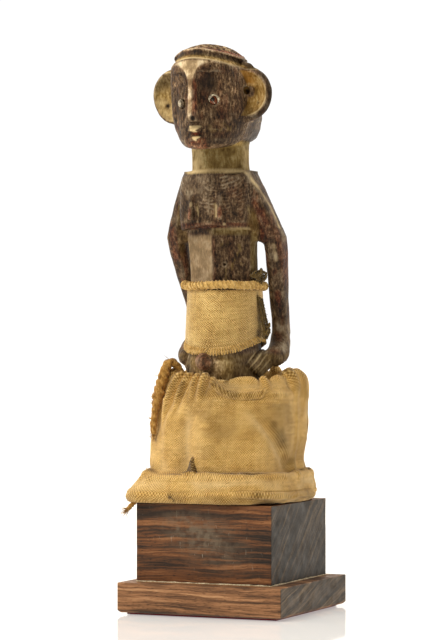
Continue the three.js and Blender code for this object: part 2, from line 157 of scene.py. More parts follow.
class Look:
    """A node material, built from the inside out."""

    def __init__(self, name):
        self.material = bpy.data.materials.new(name)
        self.material.use_nodes = True
        self.tree = self.material.node_tree
        self.shader = self.tree.nodes["Principled BSDF"]
        place = self.tree.nodes.new("ShaderNodeTexCoord").outputs["Object"]
        self.mm = self.vector("MULTIPLY", place, (1000, 1000, 1000))

    def node(self, kind, inputs, out=0, **settings):
        node = self.tree.nodes.new("ShaderNode" + kind)
        for key, value in settings.items():
            setattr(node, key, value)
        for key, value in inputs.items():
            self.join(node.inputs[key], value)
        return node.outputs[out]

    def join(self, socket, value):
        if isinstance(value, bpy.types.NodeSocket):
            self.tree.links.new(value, socket)
        else:
            socket.default_value = value

    def vector(self, operation, a, b=(0, 0, 0)):
        return self.node("VectorMath", {0: a, 1: b}, operation=operation)

    def math(self, operation, a, b=0.0, clamp=False):
        return self.node("Math", {0: a, 1: b}, operation=operation, use_clamp=clamp)

    def total(self, *terms):
        """The sum of values, each times its share, from pairs of (value, share)."""
        whole = None
        for value, share in terms:
            part = self.math("MULTIPLY", value, share)
            whole = part if whole is None else self.math("ADD", whole, part)
        return whole

    def attribute(self, name):
        return self.node("Attribute", {}, out="Fac", attribute_name=name)

    def cloth_uv(self):
        return self.node("UVMap", {}, uv_map="cloth")

    def noise(self, size, detail=2.0, stretch=(1, 1, 1), vector=None, distortion=0.0, rough=0.5):
        """Noise from 0 to 1 with features of a size in mm, longer along the axes where stretch is above 1."""
        scaled = self.vector("DIVIDE", self.mm if vector is None else vector, stretch)
        inputs = {
            "Vector": scaled, "Scale": 1 / size, "Detail": detail, "Roughness": rough,
            "Distortion": distortion,
        }
        return self.node("TexNoise", inputs)

    def ramp(self, value, *stops):
        """A value from 0 to 1 turned to a colour or a grey by stops of (place, colour or number)."""
        node = self.tree.nodes.new("ShaderNodeValToRGB")
        self.join(node.inputs[0], value)
        points = node.color_ramp.elements
        while len(points) < len(stops):
            points.new(0.5)
        for point, (place, colour) in zip(points, stops):
            point.position = place
            point.color = colour if isinstance(colour, tuple) else (colour, colour, colour, 1)
        return node.outputs[0]

    def mix(self, amount, a, b, blend="MIX"):
        return self.node("Mix", {0: amount, 6: a, 7: b}, out=2, data_type="RGBA", blend_type=blend)

    def mask(self, name, breakup, depth=0.6):
        """A painted mask with its border broken up by a noise."""
        paint = self.attribute(name)
        shift = self.math("MULTIPLY", self.math("SUBTRACT", breakup, 0.5), depth)
        shift = self.math("MULTIPLY", shift, self.math("POWER", paint, 0.5))
        shifted = self.math("ADD", paint, shift)
        return self.ramp(shifted, (0.08, 0.0), (0.92, 1.0))

    def bump(self, height, distance, strength=1.0, under=None):
        inputs = {"Height": height, "Distance": distance * MM, "Strength": strength}
        if under is not None:
            inputs["Normal"] = under
        return self.node("Bump", inputs)

    def finish(self, colour, roughness, normal=None, **sockets):
        self.join(self.shader.inputs["Base Color"], colour)
        self.join(self.shader.inputs["Roughness"], roughness)
        if normal is not None:
            self.join(self.shader.inputs["Normal"], normal)
        for key, value in sockets.items():
            self.join(self.shader.inputs[key.replace("_", " ")], value)
        return self.material


# ---------------------------------------------------------------- tubes, yarns and stitches


def smooth_path(route, spacing):
    """A Catmull-Rom curve through the route's points, as points about spacing apart."""
    route = np.array(route, float)
    ends = np.vstack([2 * route[0] - route[1], route, 2 * route[-1] - route[-2]])
    fine = []
    for i in range(len(route) - 1):
        p0, p1, p2, p3 = ends[i : i + 4]
        for t in np.linspace(0, 1, 24, endpoint=False):
            fine.append(
                0.5
                * (
                    2 * p1
                    + (p2 - p0) * t
                    + (2 * p0 - 5 * p1 + 4 * p2 - p3) * t**2
                    + (3 * p1 - p0 - 3 * p2 + p3) * t**3
                )
            )
    fine.append(route[-1])
    return resample(np.array(fine), spacing)


def resample(points, spacing):
    along = np.concatenate([[0], np.cumsum(np.linalg.norm(np.diff(points, axis=0), axis=1))])
    count = max(int(round(along[-1] / spacing)), 2)
    places = np.linspace(0, along[-1], count + 1)
    return np.stack([np.interp(places, along, points[:, c]) for c in range(3)], 1)


def frames_along(path, closed=False):
    """Two directions square to the path at each point, that turn as little as they can."""
    tangent = np.roll(path, -1, 0) - np.roll(path, 1, 0) if closed else np.gradient(path, axis=0)
    tangent /= np.linalg.norm(tangent, axis=1, keepdims=True)
    side = np.cross(tangent[0], (0.3, 0.2, 1.0))
    sides = []
    for t in tangent:
        side = side - t * (side @ t)
        side /= np.linalg.norm(side)
        sides.append(side)
    sides = np.array(sides)
    if closed:
        lost = np.arctan2(np.cross(sides[-1], sides[0]) @ tangent[0], sides[-1] @ sides[0])
        angle = np.linspace(0, 1, len(path))[:, None] * lost
        sides = sides * np.cos(angle) + np.cross(tangent, sides) * np.sin(angle)
    return sides, np.cross(tangent, sides)


class Soup:
    """Points and faces gathered from many parts into one piece."""

    def __init__(self):
        self.points, self.quads, self.triangles, self.shades, self.count = [], [], [], [], 0

    def tube(self, path, radius, sides=8, closed=False, shade=0.0):
        """A tube along path. radius is a number, one per path point, or one per path point and side."""
        path = np.asarray(path, float)
        u, v = frames_along(path, closed)
        angle = np.arange(sides) / sides * 2 * math.pi
        radius = np.asarray(radius, float)
        if radius.ndim == 1:
            radius = radius[:, None]
        radius = np.broadcast_to(radius, (len(path), sides))
        ring = u[:, None] * np.cos(angle)[None, :, None] + v[:, None] * np.sin(angle)[None, :, None]
        points = (path[:, None] + ring * radius[:, :, None]).reshape(-1, 3)
        spans = len(path) if closed else len(path) - 1
        i, j = np.meshgrid(np.arange(spans), np.arange(sides), indexing="ij")
        k, l = (i + 1) % len(path), (j + 1) % sides
        quads = np.stack([i * sides + j, i * sides + l, k * sides + l, k * sides + j], -1).reshape(-1, 4)
        self.quads.append(quads + self.count)
        if not closed:
            last = (len(path) - 1) * sides
            n = len(points)
            points = np.vstack([points, path[:1], path[-1:]])
            j = np.arange(sides)
            l = (j + 1) % sides
            self.triangles.append(np.stack([np.full(sides, n), l, j], 1) + self.count)
            self.triangles.append(np.stack([np.full(sides, n + 1), last + j, last + l], 1) + self.count)
        self.points.append(points)
        self.shades.append(np.full(len(points), shade))
        self.count += len(points)

    def yarn(
        self, path, radius, strands=2, pitch=4.0, sides=7, closed=False, taper=True, shade=0.0,
        phase=0.0,
    ):
        """Strands twisted round a path, together as thick as the radius."""
        path = np.asarray(path, float)
        u, v = frames_along(path, closed)
        along = np.concatenate([[0], np.cumsum(np.linalg.norm(np.diff(path, axis=0), axis=1))])
        turns = along / pitch
        if closed:
            length = along[-1] + np.linalg.norm(path[0] - path[-1])
            turns = along * round(length / pitch) / length
        radius = np.broadcast_to(radius, len(path)).astype(float)
        strand = radius * (0.56 if strands == 2 else 0.5)
        for k in range(strands):
            angle = (turns + k / strands + phase) * 2 * math.pi
            offset = (radius - strand)[:, None]
            line = path + offset * (u * np.cos(angle)[:, None] + v * np.sin(angle)[:, None])
            thick = strand.copy()
            if taper and not closed:
                thick[0] *= 0.5
                thick[-1] *= 0.35
            self.tube(line, thick, sides, closed, shade)

    def piece(self, name, materials, replaced=(), slot=None):
        faces = [np.concatenate(self.quads)]
        if self.triangles:
            faces.append(np.concatenate(self.triangles))
        shade = {"shade": np.concatenate(self.shades)}
        return make_piece(
            name, np.concatenate(self.points), faces, replaced, materials, attributes=shade
        )


RANDOM = np.random.default_rng(20)


def hairs(soup, places, outward, length, radius, spread=0.8, shade=0.0):
    """Loose fibres that leave the given places, mostly outward, and curl."""
    for place, out in zip(places, outward):
        aim = np.array(out) + RANDOM.normal(0, spread, 3)
        aim /= np.linalg.norm(aim)
        bend = RANDOM.normal(0, 0.6, 3)
        size = length * RANDOM.uniform(0.5, 1.2)
        t = np.linspace(0, 1, 6)[:, None]
        path = place + size * (aim * t + 0.5 * bend * t * t)
        soup.tube(path, np.linspace(radius, radius * 0.45, 6), 4, shade=shade)


# ---------------------------------------------------------------- cords and the drawstring's free end


def twisted_cord(name, dark, mid, light):
    look = Look(name)
    fibre = look.noise(0.35, 2, (1, 1, 5))
    cloud = look.noise(2.6, 3)
    tone = look.total((fibre, 0.55), (cloud, 0.45))
    colour = look.ramp(tone, (0.3, dark), (0.5, mid), (0.7, light))
    colour = look.mix(look.attribute("shade"), colour, rgb(58, 42, 20))
    normal = look.bump(fibre, 0.2, 0.9)
    return look.finish(colour, 0.95, normal, Sheen_Weight=0.25, Specular_IOR_Level=0.2)


OCHRE = twisted_cord("ochre_rag", rgb(88, 57, 18), rgb(166, 121, 54), rgb(218, 178, 106))
PLAIN = twisted_cord("plain_yarn", rgb(126, 92, 36), rgb(206, 166, 92), rgb(244, 214, 146))
DARK = twisted_cord("dark_yarn", rgb(44, 33, 12), rgb(92, 72, 30), rgb(146, 120, 62))

TAIL_ROUTE = [
    (-0.0204, -0.0181, 0.061), (-0.021, -0.0189, 0.0655), (-0.022, -0.0202, 0.0698),
    (-0.0237, -0.0216, 0.0732), (-0.0258, -0.0234, 0.0748), (-0.0276, -0.0251, 0.0734),
    (-0.0289, -0.0263, 0.0696), (-0.0299, -0.0274, 0.0646), (-0.0311, -0.0286, 0.0586),
    (-0.0321, -0.0294, 0.0526), (-0.0329, -0.03, 0.0466), (-0.0334, -0.0303, 0.0408),
    (-0.0335, -0.0303, 0.0364),
]


def drawstring_tail():
    route = [(x * 1000, y * 1000, z * 1000 + BLOCK_TOP) for x, y, z in TAIL_ROUTE]
    path = smooth_path(route, 0.5)
    along = np.linspace(0, 1, len(path))
    radius = np.interp(
        along,
        [0, 0.2, 0.3, 0.5, 0.66, 0.72, 0.78, 0.9, 1],
        [1.5, 1.8, 2.4, 2.7, 2.9, 2.1, 1.8, 1.8, 1.2],
    )
    sides = 20
    angle = np.arange(sides) / sides * 2 * math.pi
    twist = along[:, None] * 5.2 * 2 * math.pi
    lobes = 0.84 + 0.3 * np.abs(np.sin((angle[None] + twist) * 1.5))
    rough = (
        1
        + 0.14
        * noise(
            np.stack(
                np.broadcast_arrays(along[:, None] * 30, np.cos(angle) * 1.4, np.sin(angle) * 1.4), -1
            ),
            1.0,
            31,
        )
    )
    soup = Soup()
    soup.tube(path, radius[:, None] * lobes * rough, sides)
    cord = soup.piece("drawstring_tail_rag", [OCHRE], ["drawstring_tail"], "cord")
    frays = Soup()
    picks = RANDOM.integers(len(path) // 4, len(path), 110)
    picks = np.where(
        RANDOM.random(110) < 0.45, (RANDOM.normal(0.7, 0.03, 110) * len(path)).astype(int), picks
    )
    for i in np.clip(picks, 0, len(path) - 1):
        out = RANDOM.normal(0, 1, 3) + np.array((-0.7, -0.5, -0.2))
        out /= np.linalg.norm(out)
        hairs(frays, [path[i] + out * radius[i] * 0.8], [out], 2.0, 0.13, 0.5)
    end = path[-1]
    for _ in range(26):
        hairs(frays, [end + RANDOM.normal(0, 0.6, 3)], [(0, 0, -1)], 2.8, 0.16, 0.35)
    for _ in range(5):
        hairs(frays, [path[int(len(path) * 0.86)]], [(-1, -0.4, 0.3)], 4.2, 0.17, 0.25)
    loose = frays.piece("drawstring_tail_frays", [OCHRE], slot="cord")


drawstring_tail()


# ---------------------------------------------------------------- signed distance modelling


def soft_min(a, b, k):
    k = np.maximum(k, 1e-3)
    h = np.maximum(k - np.abs(a - b), 0) / k
    return np.minimum(a, b) - h * h * k / 4


def soft_max(a, b, k):
    return -soft_min(-a, -b, k)


class Carving:
    """A block of distances that shapes are added to and cut from, in mm. b is the distance forward (-Y)."""

    def __init__(self, low, high, size):
        self.low, self.size = np.array(low, float), size
        counts = [int((h - l) / size) + 2 for l, h in zip(low, high)]
        self.axes = [l + size * np.arange(n) for l, n in zip(low, counts)]
        self.field = np.full(counts, 9.0, np.float32)

    def window(self, low, high):
        cut = []
        for axis, l, h in zip(self.axes, low, high):
            cut.append(slice(int(np.searchsorted(axis, l)), int(np.searchsorted(axis, h))))
        x = self.axes[0][cut[0]][:, None, None]
        b = self.axes[1][cut[1]][None, :, None]
        z = self.axes[2][cut[2]][None, None, :]
        return tuple(cut), x, b, z

    def add(self, low, high, shape, blend=0.0):
        cut, x, b, z = self.window(low, high)
        self.field[cut] = soft_min(self.field[cut], shape(x, b, z), blend)

    def cut(self, low, high, shape, blend=0.0):
        cut, x, b, z = self.window(low, high)
        self.field[cut] = -soft_min(-self.field[cut], shape(x, b, z), blend)

    def surface(self):
        """The zero surface as points and quads, one point in each cell that it crosses."""
        field = self.field
        inside = field < 0
        corners = [(i, j, k) for i in (0, 1) for j in (0, 1) for k in (0, 1)]
        shape = np.array(field.shape) - 1
        count = np.zeros(shape, np.int8)
        for i, j, k in corners:
            count += inside[i : i + shape[0], j : j + shape[1], k : k + shape[2]]
        crossed = (count > 0) & (count < 8)
        cells = np.argwhere(crossed)
        number = np.full(shape, -1, np.int64)
        number[crossed] = np.arange(len(cells))
        total = np.zeros((len(cells), 3))
        hits = np.zeros(len(cells))
        value = {c: field[cells[:, 0] + c[0], cells[:, 1] + c[1], cells[:, 2] + c[2]] for c in corners}
        for c in corners:
            for axis in range(3):
                if c[axis]:
                    continue
                d = list(c)
                d[axis] = 1
                fa, fb = value[c], value[tuple(d)]
                cross = (fa < 0) != (fb < 0)
                t = np.where(cross, fa / np.where(cross, fa - fb, 1), 0)
                point = np.tile(np.array(c, float), (len(cells), 1))
                point[:, axis] += t
                total += np.where(cross[:, None], point, 0)
                hits += cross
        points = self.low + self.size * (cells + total / hits[:, None])
        quads = []
        for axis in range(3):
            other = [a for a in range(3) if a != axis]
            lower = [slice(1, -1)] * 3
            upper = [slice(1, -1)] * 3
            lower[axis], upper[axis] = slice(0, -1), slice(1, None)
            a, b = inside[tuple(lower)], inside[tuple(upper)]
            where = np.argwhere(a != b)
            flip = a[tuple(where.T)]
            where = where + [0 if k == axis else 1 for k in range(3)]
            ring = []
            for du, dv in ((0, 0), (1, 0), (1, 1), (0, 1)):
                cell = where.copy()
                cell[:, other[0]] -= du
                cell[:, other[1]] -= dv
                ring.append(number[tuple(cell.T)])
            quad = np.stack(ring, 1)
            if axis == 1:
                flip = ~flip
            quad[flip] = quad[flip][:, ::-1]
            quads.append(quad)
        return points, np.concatenate(quads)


def table(rows, z):
    """The columns of a table of rows (height first, rising), interpolated at z."""
    rows = np.array(rows, float)
    return [np.interp(z, rows[:, 0], rows[:, c]) for c in range(1, rows.shape[1])]


def facets(x, b, half, forward, widest, backward, front, back, power):
    """Distance to a faceted upright column. front and back are (across, along) planes of its unit outline."""
    u = np.abs(x) / half
    ahead = b > widest
    reach = np.where(ahead, forward - widest, backward + widest)
    v = np.abs(b - widest) / reach
    qf = sum(np.maximum(p * u + q * v, 0) ** power for p, q in front) ** (1 / power)
    qb = sum(np.maximum(p * u + q * v, 0) ** power for p, q in back) ** (1 / power)
    q = np.where(ahead, qf, qb)
    scale = np.where(q > 0, np.hypot(x, b - widest) / np.maximum(q, 1e-6), half)
    scale = np.minimum(scale, np.maximum(half, reach))
    return (q - 1) * scale * 0.9


def superellipse(x, b, half, forward, widest, backward, n):
    u = np.abs(x) / half
    reach = np.where(b > widest, forward - widest, backward + widest)
    v = np.abs(b - widest) / reach
    q = np.maximum((u**n + v**n) ** (1 / n), 1e-3)
    slope = np.hypot(u ** (n - 1) / half, v ** (n - 1) / reach) * q ** (1 - n)
    return (q - 1) / np.maximum(slope, 1e-3)


def ball(x, b, z, centre, radii):
    u = (x - centre[0]) / radii[0]
    v = (b - centre[1]) / radii[1]
    w = (z - centre[2]) / radii[2]
    q = np.sqrt(u * u + v * v + w * w)
    slope = np.sqrt((u / radii[0]) ** 2 + (v / radii[1]) ** 2 + (w / radii[2]) ** 2) / np.maximum(q, 1e-3)
    return (q - 1) / np.maximum(slope, 1e-3)


def capsule(x, b, z, start, end, r0, r1):
    start, end = np.array(start, float), np.array(end, float)
    along = end - start
    t = ((x - start[0]) * along[0] + (b - start[1]) * along[1] + (z - start[2]) * along[2]) / (along @ along)
    t = np.clip(t, 0, 1)
    dx, db, dz = x - start[0] - t * along[0], b - start[1] - t * along[1], z - start[2] - t * along[2]
    return np.sqrt(dx * dx + db * db + dz * dz) - (r0 + (r1 - r0) * t)


# ---------------------------------------------------------------- the carved figure

# height, half width, forward, widest line, backward
TORSO = [
    (34, 16, 14, 0, 13), (46, 19, 20, 0, 15), (56, 19.4, 24.5, 1, 15.5), (66, 19, 28, 2, 15),
    (75, 18.6, 29, 2, 14.5), (84, 18.2, 26.5, 2, 13), (94, 18, 22.5, 2, 12), (107, 18, 19.2, 3, 11),
    (120, 18.4, 17.8, 4, 12), (133, 18.6, 17.6, 5, 12), (150, 19.4, 18, 5, 12),
]
CHEST = [(144, 20.6, 20.8, 6, 12), (150, 21.4, 21.8, 6, 13), (158, 21.8, 22, 5, 14), (168, 21.4, 21.2, 4, 14),
         (174, 20, 20.2, 4, 13), (177.4, 18.4, 19, 4, 12)]
LEG = [(0, 9, 13, 2, 9), (5, 8.6, 12, 1, 9), (13, 7.6, 8, 0, 8), (28, 8.4, 9, 0, 9), (46, 9, 11, 0, 11)]
SKULL = [
    (189, 10, 29, 6, 16), (190.4, 12, 31, 6, 18), (191.8, 15, 33, 7, 24), (195, 17.8, 34.6, 8, 27),
    (200, 20, 35.4, 9, 28.6), (207, 21.6, 35.4, 10, 29.4), (214, 22, 35.2, 10, 28), (222, 22, 35.8, 10, 23.5),
    (229, 21.4, 37, 10, 19), (236, 20.4, 38, 10, 15),
]
# height, to the side, forward, half thickness, half width
ARM = [
    (72, 25, -4, 4, 6), (83.5, 25.2, -11.4, 4.2, 6.2), (91, 24.8, -14.8, 4.3, 5.8),
    (99, 24.6, -15.2, 4.4, 5.6), (109, 25.2, -12, 4.5, 6), (122, 27, -7.2, 5, 6.6),
    (134, 28.2, -3.6, 5.4, 7.2), (142.5, 28.2, -1, 5.6, 7.8), (152, 24.8, 1.2, 5.6, 8.4),
    (160, 21.4, 2.5, 5.6, 9), (168, 18, 3.6, 5.8, 9.4), (176.6, 14, 4, 5.8, 9.6),
]
PIN_SPREAD = 10.5
NOSE_SHIFT = 0.9
EYE_SPREAD, EYE_FORWARD, EYE_HEIGHT, EYE_TURN = 9.8, 32.7, 214.2, 30
EYE_DROP = {1: 0.0, -1: 1.6}  # mm: the right eye, on the side of -X, sits lower
EAR_SPREAD, EAR_FORWARD, EAR_HEIGHT, EAR_TURN = 19.8, 15, 219, 12


def torso(x, b, z):
    half, forward, widest, backward = table(TORSO, z)
    front = [(0.66, 1), (1, 0.05)]
    back = [(1, 0.12), (0.2, 1), (0.62, 0.74)]
    d = facets(x, b, half, forward, widest, backward, front, back, 14)
    belly = superellipse(x, b, half, forward, widest, backward, 2.3)
    low = step(122, 100, z)
    return np.maximum(d * (1 - low) + belly * low, 33 - z)


def chest(x, b, z):
    half, forward, widest, backward = table(CHEST, z)
    front = [(0.24, 1), (1, 0.12)]
    back = [(1, 0.1), (0.25, 1), (0.66, 0.66)]
    d = facets(x, b, half, forward, widest, backward, front, back, 9)
    ledge = 148.2 - 2.4 * (np.abs(x) / 18) ** 1.5
    under = (ledge - z - 0.5 * np.maximum(8 - b, 0)) * 0.95
    top = z - 176.6 + 0.05 * np.abs(x)
    return soft_max(soft_max(d, under, 0.8), top, 2.2)


def arm(side):
    def shape(x, b, z):
        a, fwd, thick, wide = table(ARM, z)
        o = (side * x - a) / thick
        w = (b - fwd) / wide
        planes = (np.abs(o), np.abs(w), 0.62 * (np.abs(o) + np.abs(w)), w * 0.94 + 0.3 * np.abs(o + 0.15))
        q = sum(np.maximum(p, 0) ** 9 for p in planes) ** (1 / 9)
        return np.maximum((q - 1) * thick * 0.92, 76 - z)

    return shape


# outline half width, height above and below the centre, and the cup's radius, of the left and the right ear
EAR_SHAPE = {1: (15.1, 14.4, 15.6, 12.1), -1: (14.6, 13.8, 16.0, 13.4)}


def ear(side):
    turn = math.radians(EAR_TURN)
    fx, fb = side * math.sin(turn), math.cos(turn)
    outer, up, down, cup = EAR_SHAPE[side]

    def shape(x, b, z):
        dx, db, dz = x - side * EAR_SPREAD, b - EAR_FORWARD, z - EAR_HEIGHT
        f = dx * fx + db * fb
        along = dx * fb - db * fx
        rho = np.sqrt(along**2 + (dz * outer / np.where(dz > 0, up, down)) ** 2)
        inside, past = np.clip(rho / cup, 0, 1), np.maximum(rho - cup, 0)
        back = -5.6 + 5.4 * inside**2.4 - 0.5 * past
        front = -2.8 + 5.0 * inside**2.2 - 0.14 * past**2
        d = soft_max(back - f, f - front, 0.5)
        return soft_max(d, rho - outer, 1.1) * 0.9

    return shape


def rim_lift(x):
    """How far the brow's ledge and the cap's rim rise at the middle, and fall at the sides."""
    return 1.9 - 4.4 * (np.clip(x, -22, 22) / 20) ** 2


def cheek_hollow(x, b, z):
    """How far the face is carved back below the brow, on both sides of the nose."""
    a = np.abs(x + NOSE_SHIFT)
    arch = 234.0 - 9.0 * np.exp(-np.maximum(a - 3.2, 0) / 3.0) - 0.25 * np.maximum(a - 12, 0)
    depth = 1.35 * step(1.6, -1.8, z - arch) * step(2.2, 3.8, a) * step(17, 12, a)
    return depth * step(192, 204, z) * step(18, 24, b)


def skull(x, b, z):
    # the jaw's underside rises towards the nape
    share = np.clip((212 - z) / 21, 0, 1)
    lift = 0.15 * (14 - b) * share**2
    half, forward, widest, backward = table(SKULL, z - lift)
    d = superellipse(x, b, half, forward, widest, backward, 2.15) + cheek_hollow(x, b, z)
    under = 190.6 + 0.15 * (14 - b) - z
    ledge = z - 234.4 - rim_lift(x)
    # a cut runs back along the jaw's right side
    line = 203.4 + 0.07 * (12 - b)
    d = d + 0.55 * step(line + 0.35, line - 0.35, z) * step(13, 11, b) * step(15, 17, x) * step(194, 199, z)
    return soft_max(soft_max(d, under, 3.2 - 2.0 * step(14, -4, b)), ledge, 0.6)


def hair_band(x, b, z):
    places = (234, 235.2, 237, 240)
    z = z - rim_lift(x)
    half = np.interp(z, places, (20.8, 19.2, 17.6, 16.4))
    forward = np.interp(z, places, (37.4, 36.0, 35.0, 34.6))
    backward = np.interp(z, places, (16, 13.6, 11, 9.0))
    return np.maximum(superellipse(x, b, half, forward, 11, backward, 2.1), z - 240)


def cap(x, b, z):
    rim = 238.4 + 0.05 * (b - 12) + rim_lift(x)
    dome = (
        ball(x, b, z, (0, 13.4, 227.4), (22.2, 29.6, 18.0))
        - 0.45 * bump(z, rim + 0.6, 0.7) * step(-2, 14, b)
    )
    return soft_max(dome, rim - z, 0.5)


def nose(x, b, z):
    ridge = np.interp(z, [202.6, 204.5, 212, 224, 233], [40.0, 40.8, 39.8, 38.4, 36.6])
    half = np.interp(z, [202.6, 205, 212, 222, 228, 233], [2.7, 2.2, 1.8, 1.8, 2.6, 4.0])
    x = x + NOSE_SHIFT
    d = np.abs(x) - half - (ridge - b) * 0.2
    front = b - ridge + 0.1 * np.abs(x) ** 1.5
    return soft_max(soft_max(d, front, 0.6), np.maximum(202.6 - z, z - 233), 0.6) * 0.9


def lip(height, half, tall, reach):
    def shape(x, b, z):
        side = np.abs(x + NOSE_SHIFT) - half * (1 - 0.35 * np.clip((b - 35) / 4, 0, 1))
        roof = (z - height - tall + 0.55 * (b - 36)) * 0.85
        floor = height - z
        return soft_max(soft_max(side, b - reach, 0.6), np.maximum(roof, floor), 0.5) * 0.9

    return shape


def carve_figure():
    size = 0.56
    work = Carving((-38, -37, -1.5), (38, 44, 247), size)
    work.add((-40, -40, 33), (40, 44, 152), torso)
    work.add((-30, -20, 140), (30, 30, 179), chest, 0.5)
    work.add((-19, -16, 170), (19, 23, 199), neck, 0.6)
    for side in (-1, 1):
        work.add((side * PIN_SPREAD - 13, -14, -1), (side * PIN_SPREAD + 13, 17, 48), leg(side), 3)
        low, high = sorted((side * 6, side * 37))
        work.add((low, -26, 74), (high, 18, 178), arm(side), 2.2)
        # the web of wood left in the armpit
        work.add((low, -10, 136), (high, 12, 160), web(side), 2.0)
        hand(work, side)
    work.add((-28, -32, 186), (28, 44, 239), skull, 0.3)
    for side in (-1, 1):
        low, high = sorted((side * 2, side * 38))
        work.add((low, -2, 200), (high, 30, 236), ear(side), 2.4)
        ear_details(work, side)
    face(work)
    work.add((-24, -16, 229), (24, 42, 242), hair_band, 0.4)
    work.add((-26, -20, 232), (26, 44, 247), cap, 0.3)
    trunk_details(work)
    for side in (-1, 1):
        hole = lambda x, b, z, s=side: np.maximum(np.hypot(x - s * PIN_SPREAD, b) - 2.3, z - 20.3)
        work.cut((side * PIN_SPREAD - 4, -4, -2), (side * PIN_SPREAD + 4, 4, 22), hole)
    return work


def neck(x, b, z):
    foot = 1.1 * np.exp(-np.maximum(z - 176.4, 0) / 1.3)
    top = 0.5 * np.exp(-np.maximum(193 - z, 0) / 2)
    return np.maximum(np.hypot(x, b - 3.5) - 15.4 - foot - top, z - 198)


def leg(side):
    def shape(x, b, z):
        half, forward, widest, backward = table(LEG, z)
        d = superellipse(x - side * PIN_SPREAD, b, half, forward, widest, backward, 2.3)
        return soft_max(d, np.maximum(0.2 - z, z - 47), 0.6)

    return shape


def web(side):
    def shape(x, b, z):
        a = side * x
        low = 139.5 + 0.35 * np.maximum(22 - a, 0)
        return soft_max(np.maximum(np.abs(b - 1) - 4.5, np.maximum(a - 25, 15 - a)), low - z, 1.5)

    return shape


def hand(work, side):
    low, high = sorted((side * 12, side * 36))
    wrist = [(25.2, -12.5, 86), (26, -8, 81), (26, -3, 78.5), (24.6, 1, 77.4)]
    for p, q, r0, r1 in zip(wrist, wrist[1:], (4.8, 5, 4.6), (5, 4.6, 4.2)):
        shape = lambda x, b, z, p=p, q=q, r0=r0, r1=r1: capsule(
            side * x, b, z * 0.9 + p[2] * 0.1, p, (q[0], q[1], q[2] * 0.9 + p[2] * 0.1), r0, r1
        )
        work.add((low, -20, 66), (high, 12, 94), shape, 2.5)
    for i in range(4):
        start = (20.6 + 1.45 * i, 2.0 - 0.6 * i, 80.2 - 1.9 * i)
        end = (17.6 + 0.9 * i, 14.6 - 2.4 * i, 73.4 - 1.75 * i)
        shape = lambda x, b, z, s=start, e=end: capsule(side * x, b, z, s, e, 1.75, 1.25)
        work.add((low, -6, 62), (high, 20, 86), shape, 0.5)


def ear_details(work, side):
    turn = math.radians(EAR_TURN)

    def at(across, up, out):
        """A point of the ear's own plane: across outward, up, and out along its facing."""
        x = EAR_SPREAD + across * math.cos(turn) + out * math.sin(turn)
        b = EAR_FORWARD - across * math.sin(turn) + out * math.cos(turn)
        return (side * x, b, EAR_HEIGHT + up)

    low, high = sorted((side * 12, side * 36))
    window = ((low, 4, 204), (high, 26, 234))
    if side > 0:
        # the thick rim runs on up to the cap
        work.add(
            (8, 6, 228), (28, 24, 240), lambda x, b, z: capsule(
                x, b, z, (14.6, 14, 236.4), (22.4, 14, 232.6), 1.9, 2.2
            ), 1.6
        )
        work.add(*window, lambda x, b, z: ball(x, b, z, at(2.4, 0.8, -2.6), (4.4, 3.2, 4.8)), 1.2)
        work.cut(*window, lambda x, b, z: ball(x, b, z, at(1.2, 1.2, 0.2), (1.9, 3.2, 2.2)), 0.6)
        work.cut(
            *window, lambda x, b, z: capsule(
                x, b, z, at(7.0, 3.4, -1.0), at(6.8, -3.6, -0.6), 0.8, 1.0
            ), 1.0
        )
        work.cut(*window, lambda x, b, z: ball(x, b, z, at(7.4, -5.8, 0.4), (0.9, 1.8, 0.8)), 0.3)
    else:
        work.cut(*window, lambda x, b, z: ball(x, b, z, at(6.6, -6.2, 0.6), (1.8, 2.2, 1.8)), 0.3)
        work.cut(*window, lambda x, b, z: ball(x, b, z, at(4.6, -1.2, -0.6), (0.8, 1.6, 1.1)), 0.3)


def face(work):
    work.add((-8, 28, 200), (8, 44, 236), nose, 0.9)
    work.cut(
        (-5, 34, 198), (5, 44, 206), lambda x, b, z: capsule(
            x, b, z, (-3.2, 40.8, 201.4), (1.6, 40.8, 201.4), 1.3, 1.3
        ), 0.6
    )
    work.add((-6, 30, 194), (6, 44, 202), lip(197.6, 3.6, 1.7, 38.6), 0.5)
    work.add((-6, 30, 189), (6, 44, 198), lip(192.7, 2.9, 1.8, 37.4), 0.5)
    work.cut(
        (-6, 33, 194), (6, 44, 199), lambda x, b, z: capsule(
            x, b, z, (-4.2, 37.8, 196.3), (2.6, 37.8, 196.3), 0.85, 0.85
        ), 0.5
    )
    for side in (-1, 1):
        turn = math.radians(EYE_TURN)
        fx, fb = side * math.sin(turn), math.cos(turn)

        def pit(x, b, z, s=side, fx=fx, fb=fb):
            dx, db, dz = x - s * EYE_SPREAD, b - EYE_FORWARD, z - EYE_HEIGHT + EYE_DROP[s]
            f = dx * fx + db * fb
            rho = np.sqrt(np.maximum(dx * dx + db * db + dz * dz - f * f, 0))
            return soft_max(rho - 2.5, -2.4 - f, 0.3)

        low, high = sorted((side * 4, side * 16))
        work.cut((low, 24, 208), (high, 42, 220), pit, 0.5)


